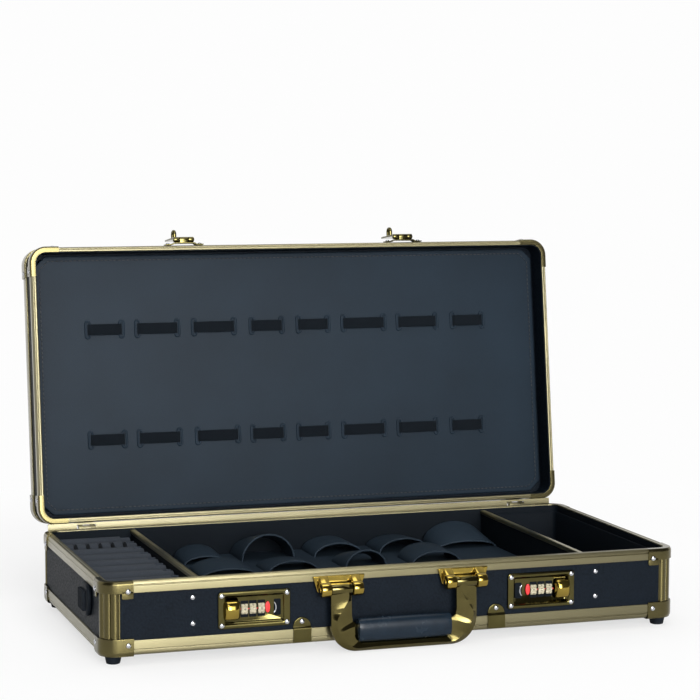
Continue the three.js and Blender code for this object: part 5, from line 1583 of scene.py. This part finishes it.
def build_floor():
    """Pale floor that keeps the case's shadow and turns to the backdrop's white farther off."""
    ends = np.array([-FLOOR_HALF, FLOOR_HALF])
    floor = make_object("studio_floor", grid(in_space(ends[None, :], ends[:, None], 0.0)))
    finish = Finish("studio_floor", Metallic=0.0, Roughness=0.9, Specular_IOR_Level=0.1,
                    Base_Color=rgba(colours().floor))
    path = finish.node("ShaderNodeLightPath")
    camera = Value(finish, path.outputs["Is Camera Ray"])
    glossy = Value(finish, path.outputs["Is Glossy Ray"])
    mirrored = glossy + Value(finish, path.outputs["Is Transmission Ray"])
    texture = finish.node("ShaderNodeTexCoord")
    distance = finish.value(
        "ShaderNodeVectorMath", {"operation": "LENGTH"}, {0: texture.outputs["Object"]}, "Value")
    seen = camera * finish.between(finish.step(distance, *SEEN_FADE), FLOOR_WHITE, 1.0)
    seen = seen + mirrored * finish.between(finish.step(distance, *MIRRORED_FADE), FLOOR_MIRRORED, 1.0)
    factor = finish.value("ShaderNodeMath", {"operation": "MINIMUM"}, {0: seen, 1: 1.0})
    white = finish.node("ShaderNodeEmission", {}, {"Color": (1, 1, 1, 1), "Strength": WHITE})
    mix = finish.node("ShaderNodeMixShader", {}, {
        0: factor, 1: finish.shader.outputs["BSDF"], 2: white.outputs["Emission"]})
    finish.tree.links.new(mix.outputs[0], finish.tree.nodes["Material Output"].inputs["Surface"])
    floor.data.materials.append(finish.material)


# Operators

class CaseOperator:
    """Runs its builders in turn."""

    bl_options = {"REGISTER", "UNDO"}

    def execute(self, context):
        for build in self.builders:
            build()
        return {"FINISHED"}


class CASE_OT_stage(CaseOperator, bpy.types.Operator):
    """Set up the camera, the surroundings, the floor and the lamps"""

    bl_idname = "case.stage"
    bl_label = "Studio"
    builders = (build_camera, build_world, build_floor, build_lamps)


class CASE_OT_frames(CaseOperator, bpy.types.Operator):
    """Build the rims, rails, corner posts, caps and feet"""

    bl_idname = "case.frames"
    bl_label = "Frames and corners"
    builders = (build_panels, build_base_frame, build_corners, build_lid_frame)


class CASE_OT_board(CaseOperator, bpy.types.Operator):
    """Build the tool board with its stitching and elastic loops"""

    bl_idname = "case.board"
    bl_label = "Tool board"
    builders = (build_tool_board, build_elastic)


class CASE_OT_compartments(CaseOperator, bpy.types.Operator):
    """Build the lining, straps, dividers, foam and bin"""

    bl_idname = "case.compartments"
    bl_label = "Compartments"
    builders = (build_lining, build_straps, build_dividers, build_foam, build_bin)


class CASE_OT_locks(CaseOperator, bpy.types.Operator):
    """Build the combination locks and the hasps"""

    bl_idname = "case.locks"
    bl_label = "Locks and hasps"
    builders = (build_locks, build_hasps)


class CASE_OT_handle(CaseOperator, bpy.types.Operator):
    """Build the handle with its brackets"""

    bl_idname = "case.handle"
    bl_label = "Handle"
    builders = (build_handle,)


class CASE_OT_fittings(CaseOperator, bpy.types.Operator):
    """Build the edge clamps, strap anchors and rivets"""

    bl_idname = "case.fittings"
    bl_label = "Small fittings"
    builders = (build_clamps, build_anchors, build_rivets)


OPERATORS = (
    CASE_OT_stage, CASE_OT_frames, CASE_OT_board, CASE_OT_compartments, CASE_OT_locks, CASE_OT_handle,
    CASE_OT_fittings)


class CASE_PT_panel(bpy.types.Panel):
    """Lists the builders and their sizes and colours"""

    bl_idname = "CASE_PT_panel"
    bl_label = "Barber case"
    bl_space_type = "VIEW_3D"
    bl_region_type = "UI"
    bl_category = "Case"

    def draw(self, context):
        for operator in OPERATORS:
            self.layout.operator(operator.bl_idname)
        for group in (context.scene.case_sizes, context.scene.case_colours):
            for name in group.__annotations__:
                self.layout.prop(group, name)


CLASSES = (CaseSizes, CaseColours) + OPERATORS + (CASE_PT_panel,)


def register():
    for cls in CLASSES:
        bpy.utils.register_class(cls)
    bpy.types.Scene.case_sizes = PointerProperty(type=CaseSizes)
    bpy.types.Scene.case_colours = PointerProperty(type=CaseColours)


def unregister():
    del bpy.types.Scene.case_colours
    del bpy.types.Scene.case_sizes
    for cls in reversed(CLASSES):
        bpy.utils.unregister_class(cls)


def main():
    register()
    for operator in OPERATORS:
        category, name = operator.bl_idname.split(".")
        getattr(getattr(bpy.ops, category), name)()


if __name__ == "__main__":
    main()
